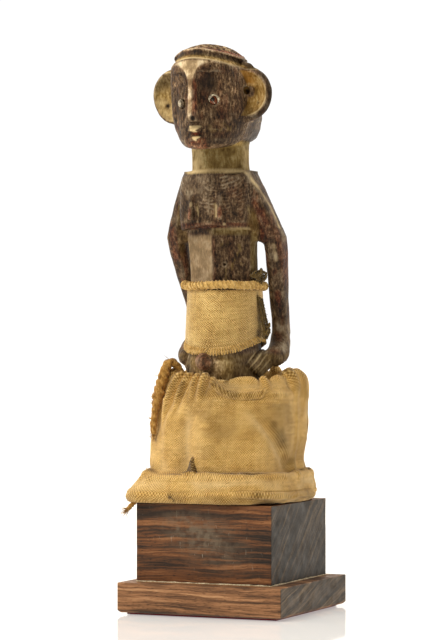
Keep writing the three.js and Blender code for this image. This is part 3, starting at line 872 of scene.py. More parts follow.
def trunk_details(work):
    for x0 in (-10.6, 6.6):
        ridge = lambda x, b, z, x0=x0: capsule(x, b, z, (x0, 19.9, 163), (x0, 22.4, 152.6), 0.9, 1.5)
        work.add((x0 - 6, 12, 146), (x0 + 6, 30, 168), ridge, 2.4)
    work.add(
        (-8, 22, 66), (8, 40, 84), lambda x, b, z: ball(
            x, b, z, (-1.6, 30.6, 75.4), (4.5, 4.4, 4.6)
        ), 0.7
    )
    # a cut between the belly's front and its right side
    work.cut(
        (-22, 10, 58), (-8, 30, 80), lambda x, b, z: capsule(
            x, b, z, (-12.9, 20.6, 58), (-12.9, 21.6, 81), 0.7, 0.7
        ), 0.7
    )
    work.cut(
        (2, 10, 124), (10, 24, 130), lambda x, b, z: ball(
            x, b, z, (5.4, 15.2, 127.3), (0.75, 2, 0.75)
        ), 0.3
    )


def quad_normals(points, quads):
    n = np.cross(points[quads[:, 2]] - points[quads[:, 0]], points[quads[:, 3]] - points[quads[:, 1]])
    total = np.stack([np.bincount(quads.ravel(), np.repeat(n[:, c], 4), len(points)) for c in range(3)], 1)
    return total / np.maximum(np.linalg.norm(total, axis=1, keepdims=True), 1e-9)


def neighbour_mean(values, quads, count):
    """The mean of each point's value over its quads' other corners."""
    shifted = np.concatenate([quads, np.roll(quads, 1, 1)])
    other = np.concatenate([np.roll(quads, -1, 1), quads])
    degree = np.bincount(shifted.ravel(), minlength=count)
    total = np.stack(
        [np.bincount(shifted.ravel(), values[other.ravel(), c], count) for c in range(values.shape[1])],
        1,
    )
    return total / np.maximum(degree, 1)[:, None]


def patch(p, centre, radii):
    """1 at the centre of a soft patch, falling to 0 outside its radii."""
    q = (((p - np.array(centre)) / np.array(radii)) ** 2).sum(1)
    return np.exp(-(q**2))


def tool_marks(p):
    """How far each point moves outward: adze waviness, grain, cuts and combed hair."""
    x, b, z = p.T
    out = 0.16 * noise(p, 7, 1) + 0.07 * noise(p, 2.6, 2) + 0.05 * noise(p, (1.1, 1.1, 7), 3)
    body = step(178, 174, z)
    head = step(188, 192, z)
    # cap: combed hair, in slanting strokes
    hair = step(239.8, 241.0, z - rim_lift(x))
    strokes = np.sin(2 * math.pi * (x * 0.8 + b * 0.55 + 1.2 * noise(p, 6, 4)) / 3.1)
    out += hair * 0.4 * (strokes - 0.4)
    # face: upright cuts on the cheeks, and a pecked surface above the eyes
    cheek = head * step(14, 18, b) * step(200, 206, z) * step(226, 220, z) * step(11, 14, np.abs(x))
    out += -0.3 * cheek * np.maximum(noise(p, (1.0, 1.0, 9), 5), 0)
    for place, low, high in ((14.9, 207, 217), (16.0, 205, 222), (17.3, 206, 220), (18.8, 204, 216)):
        out += (
            -0.42 * head * bump(x, place + 0.3 * noise(p, 5, 10), 0.36) * step(low - 2, low, z)
            * step(high + 2, high, z) * step(14, 20, b)
        )
    peck = head * step(20, 26, b) * step(214, 218, z) * step(234, 231, z) * step(2.6, 4.5, np.abs(x))
    out += 0.34 * peck * noise(p, (1.1, 1.2, 1.9), 6)
    jaw = head * step(206, 200, z)
    out += 0.14 * jaw * noise(p, (2.4, 2.4, 1.5), 7)
    # chest: fine curved chatter from a scraper
    front = body * step(148, 152, z) * step(8, 14, b)
    wave = np.sqrt((x - 6) ** 2 + (z - 186) ** 2)
    out += 0.1 * front * np.sin(2 * math.pi * (wave + 1.2 * noise(p, 5, 8)) / 1.9)
    # arms and trunk: long shallow knife strokes
    trunk = body * step(150, 146, z) * step(60, 64, z)
    out += 0.1 * trunk * noise(p, (2.2, 2.2, 16), 9)
    return out


def stroke(p, start, end, width):
    """1 along a line from start to end, falling off over a width."""
    start, end = np.array(start, float), np.array(end, float)
    along = end - start
    t = np.clip((p - start) @ along / (along @ along), 0, 1)
    gap = np.linalg.norm(p - start - t[:, None] * along, axis=1)
    return np.exp(-((gap / width) ** 2))


def strokes(p, places, width):
    return np.maximum.reduce([stroke(p, a, b, width) for a, b in zip(places, places[1:])])


MASKS = ("dust", "cream", "ochre", "grey", "red", "dark")
# the worn edge of the left arm, from the shoulder down, along which a painted highlight runs
ARM_EDGE = [
    (17.6, 11.6, 176.6), (20.9, 10.2, 172.3), (24.4, 6.4, 166.2), (28.4, 1.9, 157.8), (32.2, 1.0, 147.5),
    (33.6, -0.9, 141.6),
]


def ear_masks(side, at, n):
    """Lists of masks for the cup, the rim and the surroundings of one ear."""
    turn = math.radians(EAR_TURN)
    outer, up, down, cup = EAR_SHAPE[side]
    dx, db, dz = at.x - side * EAR_SPREAD, at.b - EAR_FORWARD, at.z - EAR_HEIGHT
    f = side * dx * math.sin(turn) + db * math.cos(turn)
    across = side * dx * math.cos(turn) - db * math.sin(turn)
    rho = np.sqrt(across**2 + (dz * outer / np.where(dz > 0, up, down)) ** 2)
    facing = side * n[:, 0] * math.sin(turn) + n[:, 1] * math.cos(turn)
    surface = -2.8 + 5.0 * np.clip(rho / cup, 0, 1) ** 2.2
    close = np.interp(across, [0, 5], [3.4, 1.5])
    near = step(close + 0.6, close - 0.6, np.abs(f - surface)) * step(-5, -3, across)
    inside = step(cup + 0.5, cup - 0.3, rho) * step(0.12, 0.4, facing) * near * (0.85 + 0.25 * at.cloud)
    on_ear = step(-5, -4, f) * step(1, 3, across)
    # the borders of what follows are ragged
    across, dz = across + 0.8 * noise(at.p, 3, 19), dz + 0.8 * noise(at.p, 3, 20)
    rim = step(cup + 0.2, cup + 1.4, rho) * on_ear * step(-6, -2, f)
    lit_edge = bump(rho, cup - 0.1, 0.5) * on_ear * step(0, 0.3, facing) * (0.7 + 0.8 * at.mottle)
    if side > 0:
        shaded = 0.25 * step(-2, 8, across)
        hole = np.exp(-(((across - 1.2) / 1.7) ** 2) - ((dz - 1.2) / 2) ** 2)
        stain = np.exp(-(((across - 1) / 4.6) ** 2) - ((dz - 8.5) / 4.5) ** 2)
        scrape = bump(np.hypot(across - 2.4, dz - 0.8), 4.0, 0.8) * step(0, 2, dz - across + 2)
        # painted shade in the cup's groove and holes; a painted highlight along the cup's edge
        marks = {
            "ochre": [inside * (0.95 * stain + 0.3)],
            "dark": [
                inside * 0.5 * bump(across, 7.0, 1.0) * bump(dz, 0, 4.6),
                0.7 * bump(across, 7.4, 0.9) * bump(dz, -5.8, 1.8) * inside,
                0.95 * hole * step(10, 12, at.b) * step(18, 19, at.x),
            ],
            "cream": [0.5 * lit_edge, inside * 0.3 * scrape],
            "red": [0.6 * step(cup + 0.6, cup + 1.6, rho) * on_ear * step(0.0, 0.6, at.cloud + at.streak)],
            "grey": [
                0.45 * step(outer - 1.6, outer - 0.6, rho) * on_ear * step(0, 6, across)
                * step(0.0, 0.5, at.mottle)
            ],
        }
    else:
        shaded = step(0, 9, dz + 0.3 * across)
        hole = (
            np.exp(-(((across - 6.6) / 1.5) ** 2) - ((dz + 6.2) / 1.5) ** 2) * step(-6, -4, f)
            * step(0, 2, across)
        )
        crack = bump(across, 5.2 + 0.5 * at.mottle, 0.7) * step(-4, -2, dz) * step(5, 3, dz)
        # painted shade in the drilled hole; a painted highlight along the cup's edge
        marks = {
            "dark": [hole, 0.7 * inside * crack],
            "cream": [0.3 * lit_edge, inside * 0.55 * step(1, -5, dz) * (0.8 + 0.5 * at.mottle) * (1 - hole)],
        }
    # the shaded part of the cup gets less dust and painted shade; the rim is dark wood
    marks["dust"] = [inside * (0.95 - 0.3 * shaded) * (1 - 0.8 * hole)]
    marks["dark"].append(0.7 * inside * shaded + 0.75 * rim)
    return marks


def figure_places(p, hollow):
    """The measures and areas that the figure's marks are placed by.

    hollow is above 0 in dips and below 0 on edges.
    """
    x, b, z = p.T
    cloud = noise(p, 5, 12)
    streak = noise(p, (1.6, 1.6, 8), 16)
    mottle = noise(p, (1.5, 1.5, 2.6), 18)
    a = np.abs(x)
    nose_x = x + NOSE_SHIFT
    body = step(177, 174, z)
    edge = np.clip(-hollow / 0.05, 0, 1)
    around_neck = np.hypot(x, b - 3.5)
    # to the right, as the camera sees it
    across_neck = 0.9153 * x - 0.4028 * (b - 3.5)
    under_hat = z - rim_lift(x)
    # the smooth brow plate, worn pale and carrying a painted highlight that fades to the right, and the
    # nose's ridge
    reach = np.where(nose_x > 0, np.maximum(nose_x - 0.8, 0) / 2.4, np.maximum(-nose_x - 2.4, 0) / 3.0)
    arch = 234.0 - 9.0 * np.exp(-reach) - 0.25 * np.maximum(a - 12, 0)
    plate = (
        step(234.0, 233.0, under_hat) * step(20, 15, a) * step(22, 27, b) * step(-1.2, 1.0, z - arch)
        * step(219, 229, z)
    )
    plate = plate * (1 - 0.8 * step(7, 13, x)) * (1 - 0.35 * step(-8, -16, x)) * (0.95 + 0.15 * cloud)
    ridge = (
        step(1.9, 1.2, np.abs(nose_x)) * step(36, 38, b) * step(203.5, 206, z) * step(232, 226, z)
        * step(1.2, 0.4, nose_x)
    )
    navel = patch(p, (-1.6, 30.6, 75.4), (5.6, 7, 5.6))
    left_facet = step(0.5, -1.5, x) * step(145, 142, z) * step(110, 115, z) * step(6, 9, b)
    hatch = np.sin(2 * math.pi * (0.8 * across_neck + 0.9 * z + cloud) / 3.0)
    cap_top = step(240.6, 242, under_hat) * step(-0.6, 0.7, hatch)
    neck_part = step(175.4, 177, z) * step(195, 192, z) * step(18.8, 17.4, around_neck)
    armpit = patch(p, (20.2, 8.5, 149), (2.6, 7, 10)) + 0.6 * patch(p, (-22, 6, 142), (4, 5, 7))
    armpit = armpit + 0.5 * patch(p, (-25, 2.5, 136), (1.6, 4, 7))
    belly = (
        step(81, 78, z) * step(58, 62, z) * (0.44 + 0.14 * step(2, 9, x)) * (0.8 + 0.4 * cloud)
        * (1 - navel)
    )
    # a painted highlight down the worn forearm
    forearm_wear_and_highlight = (
        1.2 * strokes(p, [(29.4, 3.4, 138), (29.4, 0.5, 130)], 1.3)
        + 0.5 * strokes(p, [(29.4, 0.5, 122), (28.4, -4, 112), (28, -8, 103)], 1.0)
    )
    return SimpleNamespace(
        p=p, x=x, b=b, z=z, a=a, cloud=cloud, streak=streak, mottle=mottle, nose_x=nose_x, body=body,
        edge=edge, around_neck=around_neck, across_neck=across_neck, under_hat=under_hat, plate=plate,
        ridge=ridge, navel=navel, left_facet=left_facet, cap_top=cap_top, neck_part=neck_part,
        armpit=armpit, belly=belly, forearm_wear_and_highlight=forearm_wear_and_highlight,
    )


def dust_marks(at):
    """Dust in the recesses."""
    under_rim = step(234.5, 235, at.under_hat) * step(238.4, 235.4, at.under_hat) * 0.55
    side_facet = (
        step(16.4, 18.2, at.x) * step(10, 7, at.b) * step(148, 145, at.z) * step(104, 110, at.z)
        * step(21.4, 20.6, at.x)
    )
    shelf = (
        step(147.2, 146.4, at.z) * step(141.6, 145.0, at.z) * step(6, 12, at.b) * step(-6, 6, at.x)
        * step(20.5, 19.6, at.a)
    )
    patchy = (
        step(0.1, 0.7, at.mottle + 0.4 * at.cloud) * step(1, 5, at.x) * step(143, 136, at.z)
        * step(108, 116, at.z) * step(7, 11, at.b) * 0.5
    )
    dust = [
        at.neck_part,
        under_rim,
        side_facet * 0.8,
        np.clip(at.armpit, 0, 1) * (0.65 + 0.3 * at.cloud),
        shelf * 0.8,
        patchy,
        at.belly,
    ]
    dust.append(
        0.55 * strokes(at.p, [(20, 14.8, 158), (20.4, 10.3, 149.4), (21.1, 6.4, 145)], 1.6)
        * (0.8 + 0.5 * at.mottle)
    )
    dust.append(
        0.55 * strokes(at.p, [(-22.2, 10.8, 159), (-23.2, 9.7, 153), (-24.6, 7.8, 146)], 1.3)
        * (0.8 + 0.5 * at.mottle)
    )
    dust.append(
        0.4 * step(195, 199, at.z) * step(2, 10, at.x) * step(204, 200, at.z) * step(0.1, 0.5, at.mottle)
        * step(20, 26, at.b)
    )
    for x0 in (-7.2, 3.6):
        dust.append(0.5 * stroke(at.p, (x0, 21, 159.5), (x0 + 0.2, 21.4, 153), 1.0) * (0.8 + 0.5 * at.mottle))
    return dust


def cream_marks(at):
    """Pale powder and scratches, the inlay of the lips, and painted highlights on the neck's sides, the arm's
    edge, the forearm and the brow plate.
    """
    on_hand = patch(at.p, (20.5, 9, 75), (6.5, 8, 6)) * step(10, 13, at.x)
    fingers = (
        on_hand
        * step(0.2, 0.9, np.sin(2 * math.pi * (0.75 * at.across_neck - 0.66 * at.z + 0.5 * at.cloud) / 2.8))
    )
    # a painted highlight along the arm's worn edge
    edge_highlight_line = strokes(at.p, ARM_EDGE[:-1], 1.3)
    cream = [
        bump(at.under_hat, 234.6, 0.5) * step(-6, 4, at.b) * (0.8 + 0.25 * at.cloud)
        * (1 - 0.5 * step(8, 20, at.x)),
        bump(at.z, 177.4, 1.3) * step(20.5, 18.0, at.around_neck) * (0.5 + 0.3 * at.cloud),
        # painted highlights on the neck's sides as the camera sees them
        0.42 * at.neck_part * step(7, 14, np.abs(at.across_neck - 1.5)) * (0.8 + 0.5 * at.mottle),
        0.35 * strokes(at.p, [(19.8, 15.2, 158), (20.4, 10.3, 149.4)], 0.6) * (0.6 + 0.6 * at.mottle),
        bump(at.z, 146.4, 1.1) * step(6, 12, at.b) * step(-4, 6, at.x) * step(20.5, 19.6, at.a) * 0.32
        * (0.8 + 0.5 * at.cloud),
        0.5 * stroke(at.p, (4.2, 21.4, 158.8), (4.4, 21.6, 153), 0.8),
        0.25 * stroke(at.p, (-6.9, 20.8, 158.4), (-6.8, 21, 153.4), 0.7),
        0.6 * fingers,
        0.62 * edge_highlight_line * (0.8 + 0.5 * at.mottle),
        0.25 * at.forearm_wear_and_highlight,
        0.3 * at.plate,
        0.35 * at.cap_top,
        0.2 * at.left_facet,
        0.35 * patch(at.p, (-10.4, 22, 159.5), (1.1, 3, 1.6)),
        0.45 * patch(at.p, (8.2, 20.2, 148.8), (1.0, 3, 0.9)),
        0.25 * stroke(at.p, (7.9, 33, 199), (12.7, 29.4, 198.1), 0.35),
        0.4 * stroke(at.p, (21.2, 12, 203.6), (17.5, -18, 205.4), 0.4) * (0.8 + 0.5 * at.mottle),
    ]
    # the pale inlay of the lips: a wide one that narrows downward, and a small pointed one
    wide = 1.2 + 2.5 * (at.z - 197.2) / 3.2
    upper = (
        step(wide + 0.35, wide - 0.35, np.abs(at.x + 0.5)) * step(196.9, 197.6, at.z)
        * step(200.9, 200.2, at.z)
    )
    wide = 0.2 + 2.2 * (at.z - 192.3) / 2.5
    lower = (
        step(wide + 0.35, wide - 0.35, np.abs(at.x - 0.1)) * step(192.2, 192.9, at.z)
        * step(195.1, 194.4, at.z)
    )
    cream += [upper * step(33, 35, at.b) * (0.95 - 0.5 * step(1, 3, at.x)), lower * step(33, 35, at.b)]
    return cream


def dark_marks(at):
    """Near black: painted shade in hollows, pits and under overhangs, beside the nose and the breasts and
    down the neck's middle; cuts; the navel's darker wood.
    """
    dark = [
        # painted shade beside the nose, under the brow
        0.85 * patch(at.p, (6.5, 33, 223), (6, 9, 8)),
        0.3 * patch(at.p, (12, 30, 210), (8, 9, 9)),
        # painted shade under the ear, at the side of the head
        0.6 * patch(at.p, (20, 4, 199.6), (5, 17, 4.5)),
        # painted shade under the nose's tip
        patch(at.p, (0.6, 41, 204.2), (1.5, 3, 2.2)),
        0.75 * patch(at.p, (-0.6, 36.6, 202), (4.8, 4, 1.2)),
        # painted shade in the recess under the cap's rim
        step(235.4, 236.6, at.under_hat) * step(239.4, 238.6, at.under_hat) * 0.62 * step(-4, 8, at.b),
        # painted shade in the armpit, on the inner arm and in the cut at the belly's side
        0.6 * patch(at.p, (-27, 7, 145.6), (2.4, 4, 3)),
        0.5 * patch(at.p, (-24, 3, 133), (2, 5, 12)),
        0.9 * patch(at.p, (-12.9, 21, 70), (0.8, 3, 12)) * step(82, 80, at.z),
        # painted shade down the middle of the neck as the camera sees it, and at its top under the head
        0.34 * at.neck_part * bump(at.across_neck, 2.5, 7.5) * (1 + 0.35 * at.mottle),
        0.35 * at.neck_part * step(186, 193, at.z),
        0.55 * step(188, 192, at.z) * step(236, 233, at.under_hat) * step(8, 18, at.b) * (1 - at.plate)
        * (1 - at.ridge) * (0.8 + 0.5 * at.cloud),
        0.6 * step(188, 192, at.z) * step(234, 230, at.z) * step(14, 4, at.b),
        0.66 * step(218, 206, at.z) * step(189, 192, at.z) * step(2, 6, at.x) * step(8, 18, at.b)
        * (0.95 + 0.15 * at.cloud),
        0.55 * step(226, 220, at.z) * step(190, 194, at.z) * step(-3.5, -6, at.x) * step(22, 28, at.b),
        # painted shadow down the nose's right flank
        0.7 * stroke(at.p, (2.4, 37.4, 227), (2.1, 38.4, 206), 1.0),
        # painted shade at the right of each breast
        0.85 * patch(at.p, (-8.7, 22, 155.8), (1.0, 3, 4.4)),
        0.8 * patch(at.p, (9.3, 21.4, 154.6), (1.1, 3, 3.4)),
        0.55 * at.navel,
        # painted shade under the chin and under the jaw
        0.6 * step(192.6, 190.6, at.z) * step(34, 20, at.b),
        0.75 * step(204, 200, at.z) * step(186, 190, at.z) * step(16, 4, at.b) * step(6, 10, at.a),
    ]
    # painted shade in the eye pits
    for side in (-1, 1):
        dark.append(
            0.8
            * patch(at.p, (side * EYE_SPREAD, EYE_FORWARD, EYE_HEIGHT - EYE_DROP[side]), (2.7, 3.4, 3.0))
        )
    return dark


def grey_marks(at):
    """Wood worn smooth and pale, and painted highlights on the arm's edge, the forearm, the brow plate and
    the cap's rim.
    """
    grey = [0.6 * at.cap_top * (0.7 + 0.5 * at.mottle)]
    # the arm's edge is worn pale and carries a painted highlight
    edge_wear_and_highlight = strokes(at.p, ARM_EDGE, 2.7) * (0.9 + 0.3 * at.streak)
    wrist = step(18, 22, at.x) * step(101, 97, at.z) * step(76, 84, at.z) * (0.55 + 0.45 * noise(at.p, 3, 14))
    palms = patch(np.stack([at.a, at.b, at.z], 1), (20.5, 6.5, 76.5), (6.5, 10, 6)) * (0.75 + 0.3 * at.mottle)
    far_hand = step(-18, -20, at.x) * step(84, 80, at.z) * 0.6
    rim_light = bump(at.under_hat, 239.9, 0.55) * step(0, 10, at.b) * step(14, 4, at.x)
    grey += [
        at.plate * 0.9, at.ridge * 0.75, at.edge * 0.3 * step(30, 70, at.z), edge_wear_and_highlight * 0.95,
        at.forearm_wear_and_highlight * 0.8, wrist, palms, far_hand, rim_light, 0.45 * at.belly,
    ]
    wave = np.sin(
        2 * math.pi * (np.sqrt((at.x - 6) ** 2 + (at.z - 186) ** 2) + 1.2 * noise(at.p, 5, 8)) / 1.9
    )
    grey.append(
        0.6 * at.body * step(150, 158, at.z) * step(8, 13, at.b) * step(0.1, 0.9, wave + 0.6 * at.cloud)
        * (0.7 + 0.6 * at.streak)
    )
    grey.append(
        0.5 * at.body * step(154, 170, at.z) * step(10, 15, at.b) * step(12, -8, at.x)
        * (0.8 + 0.4 * at.mottle)
    )
    grey.append(0.66 * at.left_facet * (0.85 + 0.35 * at.mottle + 0.2 * at.cloud))
    grey.append(0.4 * at.edge * step(188, 200, at.z) * step(0.0, 0.5, at.mottle) * step(8, 16, at.b))
    return grey


def red_marks(at):
    """Wood worn down to its red."""
    arms = step(21.5, 24, at.a) * step(180, 172, at.z)
    warm = step(0.0, 0.6, 0.6 * at.streak + 0.7 * at.cloud)
    red = [
        0.5 * step(0.0, 0.6, noise(at.p, (3, 3, 11), 15)) * (arms + 0.34) * (1 - at.navel),
        1.1 * bump(at.nose_x, 1.8, 0.62) * step(34, 36, at.b) * step(203, 205, at.z)
        * step(228, 222, at.z),
        0.55 * bump(at.nose_x, -1.9, 0.35) * step(34, 36, at.b) * step(203, 205, at.z)
        * step(224, 218, at.z) * (0.8 + 0.5 * at.streak),
        0.62 * step(196, 192.5, at.z) * step(28, 32, at.b) * step(8, 5, np.abs(at.x + 1))
        * (0.8 + 0.5 * at.mottle),
        0.5 * patch(at.p, (14, 29, 204), (5, 6, 8)) * warm,
        0.6 * patch(at.p, (-14.4, 28, 203), (1.8, 4, 6)) * warm,
        0.45 * patch(at.p, (15.6, 28, 212), (1.4, 3, 7)) * warm,
        0.3 * step(192, 196, at.z) * step(16, 22, at.b) * warm,
        1.2 * patch(at.p, (-10.9, 23.2, 154.4), (1.3, 3, 4.0)),
        1.2 * patch(at.p, (6.9, 23.2, 155), (1.3, 3, 3.4)),
        0.55 * step(0, -3, at.x) * step(146, 142, at.z) * step(110, 116, at.z) * step(6, 9, at.b)
        * (0.75 + 0.4 * at.cloud),
        0.75 * bump(at.x, 0.2, 1.1) * step(144, 140, at.z) * step(112, 118, at.z) * step(6, 9, at.b)
        * (0.7 + 0.4 * at.streak),
        0.9 * patch(at.p, (0, 37.4, 196.4), (4.4, 4, 1.2)),
        patch(at.p, (26.5, -1, 80), (3.2, 5, 4)) * 0.8,
        0.6 * patch(at.p, (22.5, 10, 161), (2, 4, 5)),
        0.6 * patch(at.p, (27, 8, 150.5), (3, 4, 3.4)),
        0.5 * patch(at.p, (14.7, 18.5, 165), (5, 5, 6)) * (0.6 + 0.6 * at.streak),
        0.55 * step(150.5, 148.6, at.z) * step(146, 147, at.z) * step(8, 12, at.b),
        0.6 * step(30, 32, at.x) * step(144, 138, at.z) * step(96, 104, at.z),
        0.5 * patch(at.p, (-28.6, 5, 138), (3, 4, 7)),
        0.6 * bump(at.under_hat, 240.3, 0.8) * step(-4, 8, at.x) * step(0, 8, at.b),
        0.5 * step(20, 22, at.x) * step(226, 232, at.z) * step(234, 232, at.z),
    ]
    return red


def figure_masks(p, n, hollow):
    """Where the wood has dust, is creamy, ochre, worn grey, red or near black, from 0 to 1. The creamy and
    the grey masks also hold painted highlights, and the near black one painted shade.
    """
    at = figure_places(p, hollow)
    ochre = [0.25 * np.clip(at.armpit, 0, 1), 0.2 * at.left_facet]
    marks = dict(
        zip(
            MASKS,
            (dust_marks(at), cream_marks(at), ochre, grey_marks(at), red_marks(at), dark_marks(at)),
        )
    )
    for side in (-1, 1):
        for name, more in ear_masks(side, at, n).items():
            marks[name] += more
    return {name: np.clip(np.maximum.reduce(masks), 0, 1) for name, masks in marks.items()}


def finish_figure():
    points, quads = carve_figure().surface()
    normals = quad_normals(points, quads)
    inside_out = (normals[:, 2] * (points[:, 2] - 150)).sum() < 0
    if inside_out:
        quads, normals = quads[:, ::-1], -normals
    smooth = points
    for _ in range(3):
        smooth = neighbour_mean(smooth, quads, len(points))
    hollow = ((smooth - points) * normals).sum(1)
    masks = figure_masks(points, normals, hollow)
    free = step(8, 14, points[:, 2])
    points = points + normals * (tool_marks(points) * free)[:, None]
    x, b, z = points.T
    # b runs forward, so the quads turn round when it becomes -Y
    return np.stack([x + LEAN * z, -b, z + BLOCK_TOP], 1), quads[:, ::-1], masks


def carved_wood():
    look = Look("carved_wood")
    cloud, fine = look.noise(6, 4), look.noise(0.75, 3)
    grain = look.noise(1.1, 3, (1, 1, 2.4), distortion=0.4)
    streaks = look.noise(1.0, 2, (1, 1, 9))
    tone = look.total((grain, 0.5), (fine, 0.26), (streaks, 0.16), (cloud, 0.34))
    base = look.ramp(
        tone, (0.5, rgb(30, 21, 14)), (0.6, rgb(88, 65, 45)), (0.69, rgb(142, 112, 80)),
        (0.8, rgb(218, 186, 146)),
    )
    red = look.ramp(tone, (0.52, rgb(52, 14, 7)), (0.63, rgb(122, 46, 24)), (0.76, rgb(206, 128, 80)))
    smooth = look.total((cloud, 0.6), (tone, 0.4))
    grey = look.ramp(smooth, (0.45, rgb(126, 98, 68)), (0.55, rgb(190, 160, 122)), (0.66, rgb(246, 226, 190)))
    powder = look.total((cloud, 0.55), (grain, 0.45))
    tan = look.ramp(powder, (0.34, rgb(114, 86, 38)), (0.5, rgb(182, 150, 87)), (0.68, rgb(236, 211, 148)))
    base = look.mix(look.mask("red", grain), base, red)
    # the grey mask: worn pale wood and painted highlights
    base = look.mix(look.mask("grey", grain, 0.3), base, grey)
    base = look.mix(look.mask("dust", grain), base, tan)
    ochre = look.math("MULTIPLY", look.attribute("ochre"), look.ramp(cloud, (0.3, 0.5), (0.7, 1.0)))
    base = look.mix(ochre, base, rgb(182, 122, 36))
    # the dark mask: painted shade, and near black cuts
    base = look.mix(look.mask("dark", fine, 0.4), base, rgb(27, 19, 13))
    # the cream mask: pale dust, scratches and the lips' inlay, and painted highlights
    base = look.mix(look.mask("cream", grain, 0.3), base, rgb(222, 198, 150))
    dust_and_highlight = look.math("MAXIMUM", look.attribute("dust"), look.attribute("cream"))
    rough = look.math("ADD", look.total((dust_and_highlight, 0.5), (fine, 0.3)), 0.3, clamp=True)
    normal = look.bump(look.total((grain, 0.8), (fine, 0.6)), 0.45, 0.9)
    return look.finish(base, rough, normal, Specular_IOR_Level=0.12)


def figure_piece():
    points, quads, masks = finish_figure()
    wood = [carved_wood()]
    make_piece("carved_figure_skin", points, quads, ["carved_figure"], wood, attributes=masks)


figure_piece()


# ---------------------------------------------------------------- cloth


def woven(name, dark, mid, light, pitch=0.62):
    """Coarse plain weave on the cloth's own coordinates, in mm."""
    look = Look(name)
    uv = look.cloth_uv()
    split = look.tree.nodes.new("ShaderNodeSeparateXYZ")
    look.join(split.inputs[0], uv)
    wobble = look.math("MULTIPLY", look.math("SUBTRACT", look.noise(3.4, 3, vector=uv), 0.5), 1.6)
    u, v = (look.math("ADD", split.outputs[k], wobble) for k in (0, 1))
    wave_u = look.math("SINE", look.math("MULTIPLY", u, math.pi / pitch))
    wave_v = look.math("SINE", look.math("MULTIPLY", v, math.pi / pitch))
    check = look.math("ADD", look.math("MULTIPLY", look.math("MULTIPLY", wave_u, wave_v), 0.5), 0.5)
    warp = look.noise(0.9, 2, (1, 26, 1), vector=uv)
    weft = look.noise(0.9, 2, (26, 1, 1), vector=uv)
    slub = look.noise(1.5, 3, (2.2, 1, 1), vector=uv)
    stain = look.noise(11, 4)
    speck = look.noise(0.55, 2)
    tone = look.math("MULTIPLY", check, 0.46)
    for part, share in ((warp, 0.17), (weft, 0.2), (slub, 0.3), (stain, 0.42), (speck, 0.3)):
        tone = look.math("ADD", tone, look.math("MULTIPLY", look.math("SUBTRACT", part, 0.5), share))
    tone = look.math("ADD", tone, 0.27)
    colour = look.ramp(tone, (0.22, dark), (0.5, mid), (0.8, light))
    # the worn attribute paints highlights on the cloth's crests, ridges and lit sides
    worn = look.math("MULTIPLY", look.attribute("worn"), look.ramp(tone, (0.3, 0.4), (0.7, 1.3)))
    colour = look.mix(worn, colour, rgb(240, 212, 156))
    # the shade attribute paints shade in the cloth's folds and gaps, with some random stains
    shade_and_stain = look.math(
        "MULTIPLY", look.attribute("shade"), look.ramp(tone, (0.3, 1.25), (0.75, 0.55)), clamp=True
    )
    colour = look.mix(shade_and_stain, colour, rgb(78, 54, 20))
    height = look.total((check, 0.8), (look.math("ADD", warp, weft), 0.3))
    normal = look.bump(height, 0.42, 1.0, look.bump(slub, 0.35, 0.6))
    return look.finish(colour, 0.92, normal, Sheen_Weight=0.2, Specular_IOR_Level=0.25)


SKIRT_CLOTH = woven("skirt_cloth", rgb(124, 86, 30), rgb(206, 162, 84), rgb(246, 212, 142))
BAND_CLOTH = woven("band_cloth", rgb(112, 80, 30), rgb(204, 164, 90), rgb(248, 218, 148))


def shell(outer, inner, uv, name, materials, replaced, slot, **layers):
    """A closed cloth from an outer and an inner layer: arrays of rows and columns that go round."""
    points = np.concatenate([outer, inner[::-1]])
    rows, cols = points.shape[:2]
    i, j = np.meshgrid(np.arange(rows), np.arange(cols), indexing="ij")
    k, l = (i + 1) % rows, (j + 1) % cols
    quads = np.stack([i * cols + j, i * cols + l, k * cols + l, k * cols + j], -1).reshape(-1, 4)
    piece = make_piece(
        name,
        points.reshape(-1, 3),
        quads,
        replaced,
        materials,
        attributes={key: np.concatenate([layer, layer[::-1]]).ravel() for key, layer in layers.items()},
    )
    # the cloth's coordinates run on past the last column, so that the weave closes
    along = np.concatenate([uv[1], uv[1][::-1]])
    across = np.arange(cols + 1) / cols * uv[0]
    corner = np.stack([across[np.stack([j, j + 1, j + 1, j], -1)], along[np.stack([i, i, k, k], -1)]], -1)
    layer = piece.data.uv_layers.new(name="cloth")
    layer.data.foreach_set("uv", corner.reshape(-1, 2).astype(np.float32).ravel())
    return piece


def turned(points_outer):
    """The outward unit normals of a grid of rows and columns that closes sideways."""
    along = np.gradient(points_outer, axis=0)
    across = np.roll(points_outer, -1, 1) - np.roll(points_outer, 1, 1)
    n = np.cross(across, along)
    return n / np.maximum(np.linalg.norm(n, axis=2, keepdims=True), 1e-9)


BAND_BOTTOM, BAND_TOP, BAND_RISE, BAND_THICK = 79.4, 113.6, 7.4, 1.1
BAND_FRONT = 284  # degrees: where the band faces the camera
BAND_ROWS = [
    (79.4, 20.2, 29.8, 2, 16.5), (88, 20.2, 28, 2, 15.5), (98, 20.2, 25.2, 2, 14.8),
    (107, 20.2, 22.6, 2, 14.2), (114, 20.4, 21, 3, 13.8),
]
BAND_ROUND = 128.0  # mm round the band


def ring_point(angle, half, forward, widest, backward, n):
    c, s = np.cos(angle), np.sin(angle)
    x = half * np.sign(c) * np.abs(c) ** (2 / n)
    reach = np.where(s < 0, forward - widest, backward + widest)
    return x, -widest + reach * np.sign(s) * np.abs(s) ** (2 / n)


def band_point(angle, share, lift=0.0):
    """A point of the band's outside: angle round it, and share from its lower edge to its upper one."""
    z = BAND_BOTTOM + (BAND_TOP - BAND_BOTTOM) * share
    half, forward, widest, backward = table(BAND_ROWS, z)
    x, y = ring_point(angle, half + lift, forward + lift, widest, backward + lift, 2.3)
    rise = BAND_RISE * x * x / (x * x + y * y) * (1 - share)
    z = z + rise + 0 * x
    return np.stack([x + LEAN * z, y, z + BLOCK_TOP], -1)


